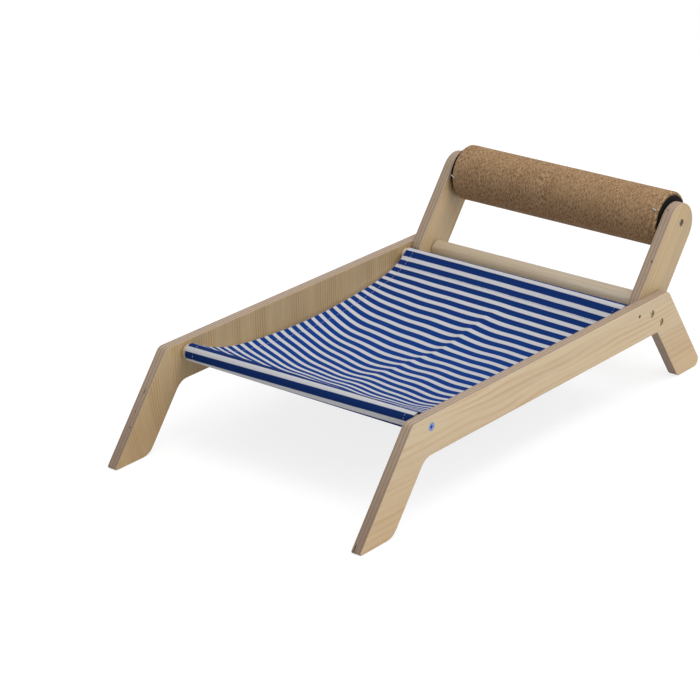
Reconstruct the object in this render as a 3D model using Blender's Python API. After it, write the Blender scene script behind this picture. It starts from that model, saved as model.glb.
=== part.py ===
"""Cat scratcher bed: two plywood side panels, three dowels, a striped cloth sling, and a scratch
roller that turns between two raked posts.

Metres and degrees, +Z up. X runs across the bed and +Y towards the roller. The pieces are laid out
from the sharp front corner of the side panels' outline, at floor level. One empty then carries them
all, so that the model's origin is at the bottom centre of its bounding box.
"""
import math

import bmesh
import bpy
from mathutils import Matrix, Vector

# Sheet stock, rounds and fits
BED_WIDTH = 0.310
PLY_THICKNESS = 0.011
EDGE_EASE = 0.0008
EDGE_EASE_STEPS = 2
CLOTH_DOWEL_RADIUS = 0.00725
HEAD_DOWEL_RADIUS = 0.011
DOWEL_CHAMFER = 0.0008
SEAT_GAP = 0.0003
SCREW_CLEARANCE = 0.0003
RUNNING_CLEARANCE = 0.0001
BORE_OVERRUN = 0.001

# Side panel outline: two legs that splay outwards under one straight rail
OUTLINE_LENGTH = 0.590
RAIL_TOP = 0.103
RAIL_DEPTH = 0.040
FRONT_LEG_WIDTH = 0.040
REAR_LEG_WIDTH = 0.0385
FRONT_LEG_ANGLE = 52.5
REAR_LEG_ANGLE = 54.7
TOE_RADIUS = 0.002
FRONT_HEEL_RADIUS = 0.018
FRONT_ARCH_RADIUS = 0.018
REAR_ARCH_RADIUS = 0.003
REAR_FOOT_RADIUS = 0.008
REAR_HEEL_RADIUS = 0.007
REAR_SHOULDER_RADIUS = 0.010
FRONT_SHOULDER_RADIUS = 0.009

# Where the dowels stand, from the panels' top edge and its two shoulders
CLOTH_DOWEL_DROP = 0.0115
FRONT_DOWEL_SETBACK = 0.0285
HEAD_DOWEL_DROP = 0.0158
HEAD_DOWEL_SETBACK = 0.0117
POST_TO_SLEEVE = 0.001

# Raked posts
POST_WIDTH = 0.048
POST_RAKE = 37.4
POST_REACH = 0.091
POST_HEAD = 0.0205
HEAD_DOWEL_OFFSET = 0.0081
POST_SCREW_DROP = 0.012
POST_SCREW_SPREAD = 0.0236
POST_SCREW_OFFSET = 0.0046
POST_FOOT = 0.017

# Scratch roller
ROLLER_RADIUS = 0.030
WRAP_THICKNESS = 0.004
WRAP_END_ROUND = 0.0012
TUBE_WALL = 0.0025
ROLLER_END_SPACE = 0.0035
CAP_FLANGE = 0.0026
CAP_FLANGE_EDGE = 0.0006
CAP_WEB = 0.0026
CAP_WALL = 0.002
CAP_SPIGOT_LENGTH = 0.014
CAP_BOSS_RADIUS = 0.008
CAP_SOCKET_RADIUS = 0.0055
CAP_SOCKET_LENGTH = 0.016

# Screws: head radius, shank radius, and how each one sits
FRONT_SCREW_HEAD = 0.004
FRONT_SCREW_SHANK = 0.002
FRONT_SCREW_SINK = 0.0002
FRONT_SCREW_BITE = 0.024
POST_SCREW_HEAD = 0.0037
POST_SCREW_SHANK = 0.0017
POST_SCREW_SINK = 0.0014
POST_SCREW_SHORT = 0.0024
HEAD_SCREW_HEAD = 0.0037
HEAD_SCREW_SHANK = 0.0017
HEAD_SCREW_SINK = 0.0003
HEAD_SCREW_BITE = 0.020
ROLLER_SCREW_HEAD = 0.0037
ROLLER_SCREW_SHANK = 0.002
ROLLER_SCREW_HEAD_HEIGHT = 0.0024
ROLLER_SCREW_DEPTH = 0.0045
ROLLER_SCREW_BITE = 0.015
REAR_PIN_RADIUS = 0.0016
REAR_PIN_SINK = 0.0025
REAR_PIN_BITE = 0.016
SCREW_POINT = 0.003
RECESS_SPAN = 0.62
RECESS_SLOT = 0.17
RECESS_DEPTH = 0.0014
RECESS_TAPER = 0.72
PAN_RIM = 0.33

# Cloth sling
CLOTH_THICKNESS = 0.001
SLEEVE_GAP = 0.0004
SLEEVE_SLACK = 0.0006
SLEEVE_END_SPACE = 0.006
SEAM_REACH = 0.020
LAP_GAP = 0.0004
SAG_MIDDLE = 0.0524
SAG_HEM = 0.0285
SAG_CROSS_POWER = 3.4
SAG_LOWEST_SHARE = 0.27
SAG_FRONT_POWER = 1.4
SAG_REAR_POWER_MIDDLE = 2.3
SAG_REAR_POWER_HEM = 4.0
SIDE_TILT = 0.0055
SIDE_TILT_GROWTH = 2.5
WIDE_RIPPLE = {"height": 0.0006, "pitch": 0.080, "skew": -0.82, "phase": 0.045}
FINE_RIPPLE = {"height": 0.0005, "pitch": 0.0456, "skew": 0.465, "phase": -0.122}

# Staples that hold the wrap at the ends of its joint
STAPLE_WIDTH = 0.0055
STAPLE_WIRE = 0.0008
STAPLE_LEG = 0.0055
STAPLE_INSET = 0.0036
STAPLE_TURN = 20.0
STAPLE_ANGLES = {"left": 174.0, "right": 145.0}

# How finely round forms are cut
ARC_STEP = 15.0
SMOOTH_BELOW = 35.0
EASE_ABOVE = 40.0
DOWEL_SIDES = 28
ROLLER_SIDES = 48
SCREW_SIDES = 20
SLEEVE_STEPS = 10
SPAN_STEPS = 16
LAP_STEPS = 2
CLOTH_COLUMNS = 14
SLOPE_STEP = 0.01
SAME_POINT = 1e-6

# Places worked out from the sizes above
SIDES = {"left": -1, "right": 1}
HALF_WIDTH = BED_WIDTH / 2
PANEL_INNER = HALF_WIDTH - PLY_THICKNESS
POST_INNER = PANEL_INNER - SEAT_GAP - PLY_THICKNESS
CLOTH_DOWEL_HEIGHT = RAIL_TOP - CLOTH_DOWEL_DROP
POST_END_RADIUS = POST_WIDTH / 2
FRONT_RUN = 1 / math.tan(math.radians(FRONT_LEG_ANGLE))
REAR_RUN = 1 / math.tan(math.radians(REAR_LEG_ANGLE))
FRONT_SHOULDER = RAIL_TOP * FRONT_RUN
REAR_SHOULDER = OUTLINE_LENGTH - RAIL_TOP * REAR_RUN
RAKE = math.radians(POST_RAKE)
ALONG = Vector((0, math.sin(RAKE), math.cos(RAKE)))
ACROSS = Vector((0, math.cos(RAKE), -math.sin(RAKE)))
FRONT_DOWEL = Vector((0, FRONT_SHOULDER + FRONT_DOWEL_SETBACK, CLOTH_DOWEL_HEIGHT))
HEAD_DOWEL = Vector((0, REAR_SHOULDER - HEAD_DOWEL_SETBACK, RAIL_TOP - HEAD_DOWEL_DROP))
ROLLER_AXIS = HEAD_DOWEL + ALONG * POST_REACH - ACROSS * HEAD_DOWEL_OFFSET
POST_LENGTH_BELOW = POST_REACH + POST_SCREW_DROP + POST_FOOT
LOOP_RADIUS = CLOTH_DOWEL_RADIUS + SLEEVE_GAP + (CLOTH_THICKNESS + SLEEVE_SLACK) / 2
LOOP_DROP = SLEEVE_SLACK / 2
CLOTH_HALF = PANEL_INNER - SLEEVE_END_SPACE
TUBE_RADIUS = ROLLER_RADIUS - WRAP_THICKNESS
TUBE_HALF = POST_INNER - ROLLER_END_SPACE


def rear_dowel_place():
    """Axis of the rear cloth dowel: its sleeve just clears the rounded foot of the posts."""
    foot = ROLLER_AXIS + ALONG * (POST_END_RADIUS - POST_LENGTH_BELOW)
    reach = POST_END_RADIUS + POST_TO_SLEEVE + LOOP_RADIUS + CLOTH_THICKNESS / 2
    rise = CLOTH_DOWEL_HEIGHT - LOOP_DROP - foot.z
    return Vector((0, foot.y - math.sqrt(reach ** 2 - rise ** 2), CLOTH_DOWEL_HEIGHT))


REAR_DOWEL = rear_dowel_place()


# Materials

def finish(name, colour, roughness, metallic=0.0):
    """A Principled material with one colour, given in linear values."""
    made = bpy.data.materials.new(name)
    made.use_nodes = True
    shader = made.node_tree.nodes["Principled BSDF"]
    shader.inputs["Base Color"].default_value = (*colour, 1.0)
    shader.inputs["Roughness"].default_value = roughness
    shader.inputs["Metallic"].default_value = metallic
    made.diffuse_color = (*colour, 1.0)
    return made


# Mesh and object helpers

def add_object(name, mesh, material=None, parent=None, place=(0, 0, 0), turn=(0, 0, 0)):
    """Link a new object that carries the mesh."""
    made = bpy.data.objects.new(name, mesh)
    bpy.context.scene.collection.objects.link(made)
    made.parent = parent
    made.location = place
    made.rotation_euler = turn
    if material:
        mesh.materials.clear()
        mesh.materials.append(material)
    return made


def mesh_of(bm, name, smooth=True):
    """Turn a bmesh into a mesh with outward faces and smooth round sides."""
    bmesh.ops.recalc_face_normals(bm, faces=bm.faces)
    mesh = bpy.data.meshes.new(name)
    bm.to_mesh(mesh)
    bm.free()
    if smooth:
        mesh.shade_smooth()
        mesh.set_sharp_from_angle(angle=math.radians(SMOOTH_BELOW))
    return mesh


def rounded_outline(corners):
    """Outline of a polygon given as (u, v, radius), each corner rounded to its own radius."""
    outline = []
    count = len(corners)
    for index, (u, v, radius) in enumerate(corners):
        here = Vector((u, v))
        back = (Vector(corners[index - 1][:2]) - here)
        ahead = (Vector(corners[(index + 1) % count][:2]) - here)
        half_angle = back.angle(ahead) / 2
        reach = min(radius / math.tan(half_angle), back.length / 2, ahead.length / 2)
        radius = reach * math.tan(half_angle)
        bisector = (back.normalized() + ahead.normalized()).normalized()
        centre = here + bisector * (radius / math.sin(half_angle))
        start = here + back.normalized() * reach - centre
        sweep = start.angle_signed(here + ahead.normalized() * reach - centre)
        steps = max(2, math.ceil(abs(math.degrees(sweep)) / ARC_STEP))
        for step in range(steps + 1):
            point = centre + Matrix.Rotation(-sweep * step / steps, 2) @ start
            if not outline or (point - outline[-1]).length > SAME_POINT:
                outline.append(point)
    if (outline[0] - outline[-1]).length < SAME_POINT:
        outline.pop()
    return outline


def plate_mesh(name, outline, thickness):
    """A plate in the YZ plane, centred on X = 0, extruded from one face."""
    bm = bmesh.new()
    ring = [bm.verts.new((-thickness / 2, y, z)) for y, z in outline]
    face = bm.faces.new(ring)
    grown = bmesh.ops.extrude_face_region(bm, geom=[face])["geom"]
    moved = [item for item in grown if isinstance(item, bmesh.types.BMVert)]
    bmesh.ops.translate(bm, verts=moved, vec=(thickness, 0, 0))
    return mesh_of(bm, name)


def spin_profile(bm, profile, sides, place=(0, 0, 0), closed=False):
    """Spin a profile of (x, radius) points round the X axis through place."""
    turned = bmesh.new()
    verts = [turned.verts.new((x, 0, radius)) for x, radius in profile]
    pairs = list(zip(verts, verts[1:]))
    if closed:
        pairs.append((verts[-1], verts[0]))
    edges = [turned.edges.new(pair) for pair in pairs]
    bmesh.ops.spin(turned, geom=verts + edges, cent=(0, 0, 0), axis=(1, 0, 0),
                   angle=math.tau, steps=sides, use_merge=True)
    bmesh.ops.remove_doubles(turned, verts=turned.verts, dist=SAME_POINT)
    bmesh.ops.recalc_face_normals(turned, faces=turned.faces)
    bmesh.ops.translate(turned, verts=turned.verts, vec=place)
    carried = bpy.data.meshes.new("turned")
    turned.to_mesh(carried)
    turned.free()
    bm.from_mesh(carried)
    bpy.data.meshes.remove(carried)


def turned_mesh(name, profile, sides, closed=False):
    """A mesh turned from one profile round the X axis."""
    bm = bmesh.new()
    spin_profile(bm, profile, sides, closed=closed)
    return mesh_of(bm, name)


def cutter(name, mesh, parent, place=(0, 0, 0), turn=(0, 0, 0)):
    """A hidden object that other pieces are cut with."""
    made = add_object(name, mesh, parent=parent, place=place, turn=turn)
    made.hide_render = True
    made.display_type = "WIRE"
    return made


def cut(target, tool, name):
    """Subtract the tool from the target."""
    step = target.modifiers.new(name, "BOOLEAN")
    step.operation = "DIFFERENCE"
    step.solver = "EXACT"
    step.object = tool


def ease_edges(target):
    """Break the sharp edges of a sawn plate."""
    step = target.modifiers.new("eased edges", "BEVEL")
    step.width = EDGE_EASE
    step.segments = EDGE_EASE_STEPS
    step.limit_method = "ANGLE"
    step.angle_limit = math.radians(EASE_ABOVE)


def evaluated_mesh(source, name):
    """The mesh of an object after its modifiers."""
    view = bpy.context.evaluated_depsgraph_get()
    return bpy.data.meshes.new_from_object(source.evaluated_get(view), depsgraph=view).copy()


# Bores and screws, both read from the face inwards

def countersunk_bore(head, shank, sink, depth):
    """Profile of a countersunk hole: (depth below the face, radius)."""
    wide, narrow = head + SCREW_CLEARANCE, shank + SCREW_CLEARANCE
    return [(-BORE_OVERRUN, wide), (sink, wide), (sink + head - shank, narrow), (depth, narrow)]


def plain_bore(radius, depth):
    """Profile of a straight hole."""
    return [(-BORE_OVERRUN, radius + SCREW_CLEARANCE), (depth, radius + SCREW_CLEARANCE)]


def pivot_bore(head, shank, seat, depth):
    """Profile of a hole that a screw turns in, with a wide flat-bottomed mouth for its head."""
    wide, narrow = head + SCREW_CLEARANCE, shank + RUNNING_CLEARANCE
    return [(-BORE_OVERRUN, wide), (seat, wide), (seat, narrow), (depth, narrow)]


def bore_tool(name, sign, bores):
    """One cutter for all bores of a plate, whose outer face looks along sign on X.

    bores holds (y, z, profile) with each profile read from the outer face inwards.
    """
    bm = bmesh.new()
    for y, z, profile in bores:
        points = [(sign * (PLY_THICKNESS / 2 - depth), radius) for depth, radius in profile]
        points = [(points[0][0], 0.0)] + points + [(points[-1][0], 0.0)]
        spin_profile(bm, points, SCREW_SIDES, place=(0, y, z))
    return mesh_of(bm, name, smooth=False)


def cross_outline(span, slot):
    """Outline of a cross recess: a plus sign with arms of one width."""
    far, near = span / 2, slot / 2
    corners = []
    for turn in range(4):
        step = Matrix.Rotation(math.pi / 2 * turn, 2)
        for point in ((near, near), (near, far), (-near, far)):
            corners.append(tuple(step @ Vector(point)))
    return corners


def screw_mesh(name, profile, head):
    """A screw along X, head outwards at X = 0, with a tapered cross recess cut into its head."""
    body = add_object(name, turned_mesh(name, profile, SCREW_SIDES))
    outline = cross_outline(head * 2 * RECESS_SPAN, head * 2 * RECESS_SLOT)
    bm = bmesh.new()
    top = bm.faces.new([bm.verts.new((BORE_OVERRUN, y, z)) for y, z in outline])
    grown = bmesh.ops.extrude_face_region(bm, geom=[top])["geom"]
    deep = [item for item in grown if isinstance(item, bmesh.types.BMVert)]
    bmesh.ops.translate(bm, verts=deep, vec=(-BORE_OVERRUN - RECESS_DEPTH, 0, 0))
    bmesh.ops.scale(bm, verts=deep, vec=(1, RECESS_TAPER, RECESS_TAPER))
    recess = cutter(name + "_recess", mesh_of(bm, name, smooth=False), None)
    cut(body, recess, "cross recess")
    made = evaluated_mesh(body, name)
    bpy.data.objects.remove(body)
    bpy.data.objects.remove(recess)
    return made


def countersunk_screw(name, head, shank, length):
    """Countersunk screw of a given length over all."""
    profile = [(0, 0), (0, head), (shank - head, shank), (SCREW_POINT - length, shank), (-length, 0)]
    return screw_mesh(name, profile, head)


def pan_screw(name, head, shank, height, length):
    """Pan-head screw whose head has a rounded rim, with its crown at X = 0."""
    rim = height * PAN_RIM
    half_drop = rim / 2
    half_out = head - rim / 4
    profile = [(0, 0), (0, head - rim), (-half_drop, half_out), (-rim, head), (-height, head)]
    profile += [(-height, shank), (SCREW_POINT - length, shank), (-length, 0)]
    return screw_mesh(name, profile, head)


def drilled_dowel(name, half, radius, bore, depth):
    """A dowel along X with a pilot bore in each end and chamfered rims."""
    rim = (half, radius - DOWEL_CHAMFER)
    right = [(half - depth, 0), (half - depth, bore), (half, bore), rim, (half - DOWEL_CHAMFER, radius)]
    left = [(-x, height) for x, height in right]
    return turned_mesh(name, left + right[::-1], DOWEL_SIDES)


# Sub-assemblies

def side_corners():
    """Corners of the side panel's outline as (y, z, radius)."""
    rail_bottom = RAIL_TOP - RAIL_DEPTH
    front_foot = FRONT_LEG_WIDTH / math.sin(math.radians(FRONT_LEG_ANGLE))
    rear_foot = REAR_LEG_WIDTH / math.sin(math.radians(REAR_LEG_ANGLE))
    return [
        (0, 0, TOE_RADIUS),
        (front_foot, 0, FRONT_HEEL_RADIUS),
        (front_foot + rail_bottom * FRONT_RUN, rail_bottom, FRONT_ARCH_RADIUS),
        (OUTLINE_LENGTH - rear_foot - rail_bottom * REAR_RUN, rail_bottom, REAR_ARCH_RADIUS),
        (OUTLINE_LENGTH - rear_foot, 0, REAR_FOOT_RADIUS),
        (OUTLINE_LENGTH, 0, REAR_HEEL_RADIUS),
        (REAR_SHOULDER, RAIL_TOP, REAR_SHOULDER_RADIUS),
        (FRONT_SHOULDER, RAIL_TOP, FRONT_SHOULDER_RADIUS),
    ]


def post_screw_places():
    """Centres of the two screws that hold a post to its side panel, front one first."""
    row = ROLLER_AXIS - ALONG * (POST_REACH + POST_SCREW_DROP) + ACROSS * POST_SCREW_OFFSET
    half = ACROSS * POST_SCREW_SPREAD / 2
    return {"front": row - half, "rear": row + half}


def post_screw_length():
    """From the sunk head to a little short of the post's inner face."""
    return 2 * PLY_THICKNESS + SEAT_GAP - POST_SCREW_SINK - POST_SCREW_SHORT


def build_side_panels(bed, wood):
    """Both side panels, each sawn from one sheet and drilled from its outer face."""
    through = PLY_THICKNESS + BORE_OVERRUN
    outline = rounded_outline(side_corners())
    for side, sign in SIDES.items():
        name = "side_panel_" + side
        place = (sign * (HALF_WIDTH - PLY_THICKNESS / 2), 0, 0)
        panel = add_object(name, plate_mesh(name, outline, PLY_THICKNESS), wood, bed, place)
        ease_edges(panel)
        bores = [
            (FRONT_DOWEL.y, FRONT_DOWEL.z,
             countersunk_bore(FRONT_SCREW_HEAD, FRONT_SCREW_SHANK, FRONT_SCREW_SINK, through)),
            (REAR_DOWEL.y, REAR_DOWEL.z, plain_bore(REAR_PIN_RADIUS, through)),
        ]
        for spot in post_screw_places().values():
            bores.append((spot.y, spot.z, countersunk_bore(
                POST_SCREW_HEAD, POST_SCREW_SHANK, POST_SCREW_SINK, through)))
        tool = cutter(name + "_bores", bore_tool(name, sign, bores), bed, place)
        cut(panel, tool, "bores")


def build_posts(bed, wood):
    """Both raked posts, turned about the roller's axis so that they lean to the rear."""
    half = POST_WIDTH / 2
    outline = rounded_outline([
        (-half, -POST_LENGTH_BELOW, POST_END_RADIUS), (half, -POST_LENGTH_BELOW, POST_END_RADIUS),
        (half, POST_HEAD, POST_END_RADIUS), (-half, POST_HEAD, POST_END_RADIUS)])
    through = PLY_THICKNESS + BORE_OVERRUN
    screw_end = post_screw_length() + POST_SCREW_SINK - PLY_THICKNESS
    bores = [
        (0, 0, pivot_bore(ROLLER_SCREW_HEAD, ROLLER_SCREW_SHANK, ROLLER_SCREW_DEPTH, through)),
        (HEAD_DOWEL_OFFSET, -POST_REACH,
         countersunk_bore(HEAD_SCREW_HEAD, HEAD_SCREW_SHANK, HEAD_SCREW_SINK, through)),
    ]
    for step in (-1, 1):
        bores.append((POST_SCREW_OFFSET + step * POST_SCREW_SPREAD / 2, -POST_REACH - POST_SCREW_DROP,
                      plain_bore(POST_SCREW_SHANK, screw_end + SCREW_CLEARANCE)))
    for side, sign in SIDES.items():
        name = "post_" + side
        place = (sign * (POST_INNER + PLY_THICKNESS / 2), ROLLER_AXIS.y, ROLLER_AXIS.z)
        post = add_object(name, plate_mesh(name, outline, PLY_THICKNESS), wood, bed, place,
                          (-RAKE, 0, 0))
        ease_edges(post)
        tool = cutter(name + "_bores", bore_tool(name, sign, bores), bed, place, (-RAKE, 0, 0))
        cut(post, tool, "bores")


def build_dowels(bed, wood):
    """The three dowels, each butted between the faces that hold it."""
    between_panels = PANEL_INNER - SEAT_GAP
    between_posts = POST_INNER - SEAT_GAP
    spare = SCREW_CLEARANCE + SEAT_GAP
    plan = [
        ("front_dowel", FRONT_DOWEL, between_panels, CLOTH_DOWEL_RADIUS,
         FRONT_SCREW_SHANK, FRONT_SCREW_BITE),
        ("rear_dowel", REAR_DOWEL, between_panels, CLOTH_DOWEL_RADIUS, REAR_PIN_RADIUS, REAR_PIN_BITE),
        ("head_dowel", HEAD_DOWEL, between_posts, HEAD_DOWEL_RADIUS, HEAD_SCREW_SHANK, HEAD_SCREW_BITE),
    ]
    for name, axis, half, radius, shank, bite in plan:
        mesh = drilled_dowel(name, half, radius, shank + SCREW_CLEARANCE, bite + spare)
        add_object(name, mesh, wood, bed, axis)


def build_frame_fasteners(bed, blue_zinc, yellow_zinc, steel):
    """Screws and pins that hold the frame, one object for each piece."""
    front = countersunk_screw("front_screw", FRONT_SCREW_HEAD, FRONT_SCREW_SHANK,
                              PLY_THICKNESS + FRONT_SCREW_BITE - FRONT_SCREW_SINK)
    post = countersunk_screw("post_screw", POST_SCREW_HEAD, POST_SCREW_SHANK, post_screw_length())
    head = countersunk_screw("head_screw", HEAD_SCREW_HEAD, HEAD_SCREW_SHANK,
                             PLY_THICKNESS + HEAD_SCREW_BITE - HEAD_SCREW_SINK)
    pin_length = PLY_THICKNESS + REAR_PIN_BITE - REAR_PIN_SINK
    pin = turned_mesh("rear_pin", [(0, 0), (0, REAR_PIN_RADIUS), (-pin_length, REAR_PIN_RADIUS),
                                   (-pin_length, 0)], SCREW_SIDES)
    post_face = PANEL_INNER - SEAT_GAP
    for side, sign in SIDES.items():
        turn = (0, 0, 0 if sign > 0 else math.pi)
        plan = [
            ("front_screw_", front, blue_zinc, HALF_WIDTH - FRONT_SCREW_SINK, FRONT_DOWEL),
            ("rear_pin_", pin, steel, HALF_WIDTH - REAR_PIN_SINK, REAR_DOWEL),
            ("head_dowel_screw_", head, steel, post_face - HEAD_SCREW_SINK, HEAD_DOWEL),
        ]
        for where, spot in post_screw_places().items():
            plan.append(("post_screw_" + where + "_", post, yellow_zinc,
                         HALF_WIDTH - POST_SCREW_SINK, spot))
        for name, mesh, material, out, axis in plan:
            add_object(name + side, mesh, material, bed, (sign * out, axis.y, axis.z), turn)


def cap_profile():
    """Loop of (x, radius) for a roller cap, X = 0 at the tube's end and +X towards the post."""
    bore = ROLLER_SCREW_SHANK + SCREW_CLEARANCE
    spigot = TUBE_RADIUS - TUBE_WALL - SEAT_GAP
    face = ROLLER_END_SPACE - SEAT_GAP
    web = CAP_FLANGE - CAP_WEB
    return [
        (face, bore), (face, CAP_BOSS_RADIUS), (CAP_FLANGE, CAP_BOSS_RADIUS),
        (CAP_FLANGE, TUBE_RADIUS - CAP_FLANGE_EDGE), (CAP_FLANGE - CAP_FLANGE_EDGE, TUBE_RADIUS),
        (SEAT_GAP, TUBE_RADIUS), (SEAT_GAP, spigot), (-CAP_SPIGOT_LENGTH, spigot),
        (-CAP_SPIGOT_LENGTH, spigot - CAP_WALL), (web, spigot - CAP_WALL),
        (web, CAP_SOCKET_RADIUS), (-CAP_SOCKET_LENGTH, CAP_SOCKET_RADIUS),
        (-CAP_SOCKET_LENGTH, bore),
    ]


def staple_mesh(name, grow):
    """A staple with its crown along X and its legs down -Z, larger all round by grow."""
    half = STAPLE_WIDTH / 2 + grow
    inner = half - STAPLE_WIRE - 2 * grow
    top = STAPLE_WIRE + SEAT_GAP + grow
    inside = SEAT_GAP - grow
    outline = [(-half, top), (-half, -STAPLE_LEG - grow), (-inner, -STAPLE_LEG - grow), (-inner, inside),
               (inner, inside), (inner, -STAPLE_LEG - grow), (half, -STAPLE_LEG - grow), (half, top)]
    bm = bmesh.new()
    face = bm.faces.new([bm.verts.new((x, -STAPLE_WIRE / 2 - grow, z)) for x, z in outline])
    grown = bmesh.ops.extrude_face_region(bm, geom=[face])["geom"]
    moved = [item for item in grown if isinstance(item, bmesh.types.BMVert)]
    bmesh.ops.translate(bm, verts=moved, vec=(0, STAPLE_WIRE + 2 * grow, 0))
    return mesh_of(bm, name, smooth=False)


def build_roller(bed, sisal, board, plastic, steel):
    """The roller: a capped tube in a sisal wrap, on the axis that its screws turn on."""
    axis = bpy.data.objects.new("roller_axis", None)
    bpy.context.scene.collection.objects.link(axis)
    axis.parent = bed
    axis.location = ROLLER_AXIS
    inner = TUBE_RADIUS - TUBE_WALL
    tube_loop = [(-TUBE_HALF, inner), (TUBE_HALF, inner), (TUBE_HALF, TUBE_RADIUS),
                 (-TUBE_HALF, TUBE_RADIUS)]
    tube = add_object("roller_tube", turned_mesh("roller_tube", tube_loop, ROLLER_SIDES, closed=True),
                      board, axis)
    lining = TUBE_RADIUS + SEAT_GAP
    rounded = TUBE_HALF - WRAP_END_ROUND
    wrap_loop = [(-TUBE_HALF, lining), (TUBE_HALF, lining), (TUBE_HALF, ROLLER_RADIUS - WRAP_END_ROUND),
                 (rounded, ROLLER_RADIUS), (-rounded, ROLLER_RADIUS),
                 (-TUBE_HALF, ROLLER_RADIUS - WRAP_END_ROUND)]
    wrap = add_object("sisal_wrap", turned_mesh("sisal_wrap", wrap_loop, ROLLER_SIDES, closed=True),
                      sisal, axis)
    screw = pan_screw("roller_screw", ROLLER_SCREW_HEAD, ROLLER_SCREW_SHANK, ROLLER_SCREW_HEAD_HEIGHT,
                      ROLLER_SCREW_HEAD_HEIGHT + PLY_THICKNESS - ROLLER_SCREW_DEPTH + ROLLER_SCREW_BITE)
    screw_out = POST_INNER + PLY_THICKNESS - ROLLER_SCREW_DEPTH + ROLLER_SCREW_HEAD_HEIGHT + SEAT_GAP
    for side, sign in SIDES.items():
        turn = (0, 0, 0 if sign > 0 else math.pi)
        cap = turned_mesh("roller_cap_" + side, cap_profile(), ROLLER_SIDES, closed=True)
        add_object("roller_cap_" + side, cap, plastic, axis, (sign * TUBE_HALF, 0, 0), turn)
        add_object("roller_screw_" + side, screw, steel, axis, (sign * screw_out, 0, 0), turn)
        lean = math.radians(STAPLE_ANGLES[side]) - math.pi / 2
        outward = Vector((0, -math.sin(lean), math.cos(lean)))
        spot = Vector((sign * (TUBE_HALF - STAPLE_INSET), 0, 0)) + outward * ROLLER_RADIUS
        set_in = Matrix.Rotation(lean, 4, "X") @ Matrix.Rotation(math.radians(-STAPLE_TURN), 4, "Z")
        staple = staple_mesh("wrap_staple_" + side, 0.0)
        staple.transform(set_in)
        add_object(staple.name, staple, steel, axis, spot)
        seat = staple_mesh("staple_slot_" + side, SEAT_GAP)
        seat.transform(set_in)
        slot = cutter(seat.name, seat, axis, spot)
        for target in (wrap, tube):
            cut(target, slot, "staple slot " + side)


def ripple(x, share, height, pitch, skew, phase):
    """Height of one set of long ripples, which die out at the dowels."""
    return height * math.sin(math.tau * (x / pitch + skew * (share - 0.5) + phase))


def rumple(x, share):
    """Height that the side tilt and the ripples add to the hanging cloth."""
    tilt = -SIDE_TILT * x / CLOTH_HALF * (1 + SIDE_TILT_GROWTH * (share - 0.5))
    waves = ripple(x, share, **WIDE_RIPPLE) + ripple(x, share, **FINE_RIPPLE)
    return (tilt + waves) * math.sin(math.pi * share)


def sling_section(x):
    """Middle line of the cloth at one X as (y, z) points: lap, sleeve, span, sleeve and lap."""
    towards_hem = abs(x / CLOTH_HALF) ** SAG_CROSS_POWER
    sag = SAG_MIDDLE + (SAG_HEM - SAG_MIDDLE) * towards_hem
    rear_power = SAG_REAR_POWER_MIDDLE + (SAG_REAR_POWER_HEM - SAG_REAR_POWER_MIDDLE) * towards_hem
    front = Vector((FRONT_DOWEL.y, FRONT_DOWEL.z - LOOP_DROP))
    rear = Vector((REAR_DOWEL.y, REAR_DOWEL.z - LOOP_DROP))
    reach = rear.x - front.x
    front_leave = math.atan(sag * SAG_FRONT_POWER / (SAG_LOWEST_SHARE * reach))
    rear_leave = math.atan(sag * rear_power / ((1 - SAG_LOWEST_SHARE) * reach))
    start = front + LOOP_RADIUS * Vector((math.sin(front_leave), math.cos(front_leave)))
    end = rear + LOOP_RADIUS * Vector((-math.sin(rear_leave), math.cos(rear_leave)))

    def span_at(share):
        """Point of the hanging span at a share of the way to the rear."""
        if share < SAG_LOWEST_SHARE:
            rise = (1 - share / SAG_LOWEST_SHARE) ** SAG_FRONT_POWER
        else:
            rise = ((share - SAG_LOWEST_SHARE) / (1 - SAG_LOWEST_SHARE)) ** rear_power
        return start.lerp(end, share) + Vector((0, rumple(x, share) - sag * (1 - rise)))

    def sleeve(centre, inward, leave, seam_share):
        """Lap and loop of one sleeve, from the lap's end to where the span begins."""
        run = span_at(seam_share + SLOPE_STEP) - span_at(seam_share - SLOPE_STEP)
        below = Vector((run.y, -run.x)).normalized()
        lap_end = span_at(seam_share) + below * (CLOTH_THICKNESS + LAP_GAP)
        away = lap_end - centre
        touch = math.atan2(away.y, away.x * inward) - math.acos(LOOP_RADIUS / away.length)
        leaves_at = math.pi / 2 - leave - math.tau
        loop = []
        for index in range(SLEEVE_STEPS + 1):
            angle = touch + (leaves_at - touch) * index / SLEEVE_STEPS
            loop.append(centre + LOOP_RADIUS * Vector((inward * math.cos(angle), math.sin(angle))))
        return [lap_end.lerp(loop[0], index / LAP_STEPS) for index in range(LAP_STEPS)] + loop

    seam_share = SEAM_REACH / reach
    line = sleeve(front, 1, front_leave, seam_share)
    line += [span_at(index / SPAN_STEPS) for index in range(1, SPAN_STEPS)]
    line += reversed(sleeve(rear, -1, rear_leave, 1 - seam_share))
    return line


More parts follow.
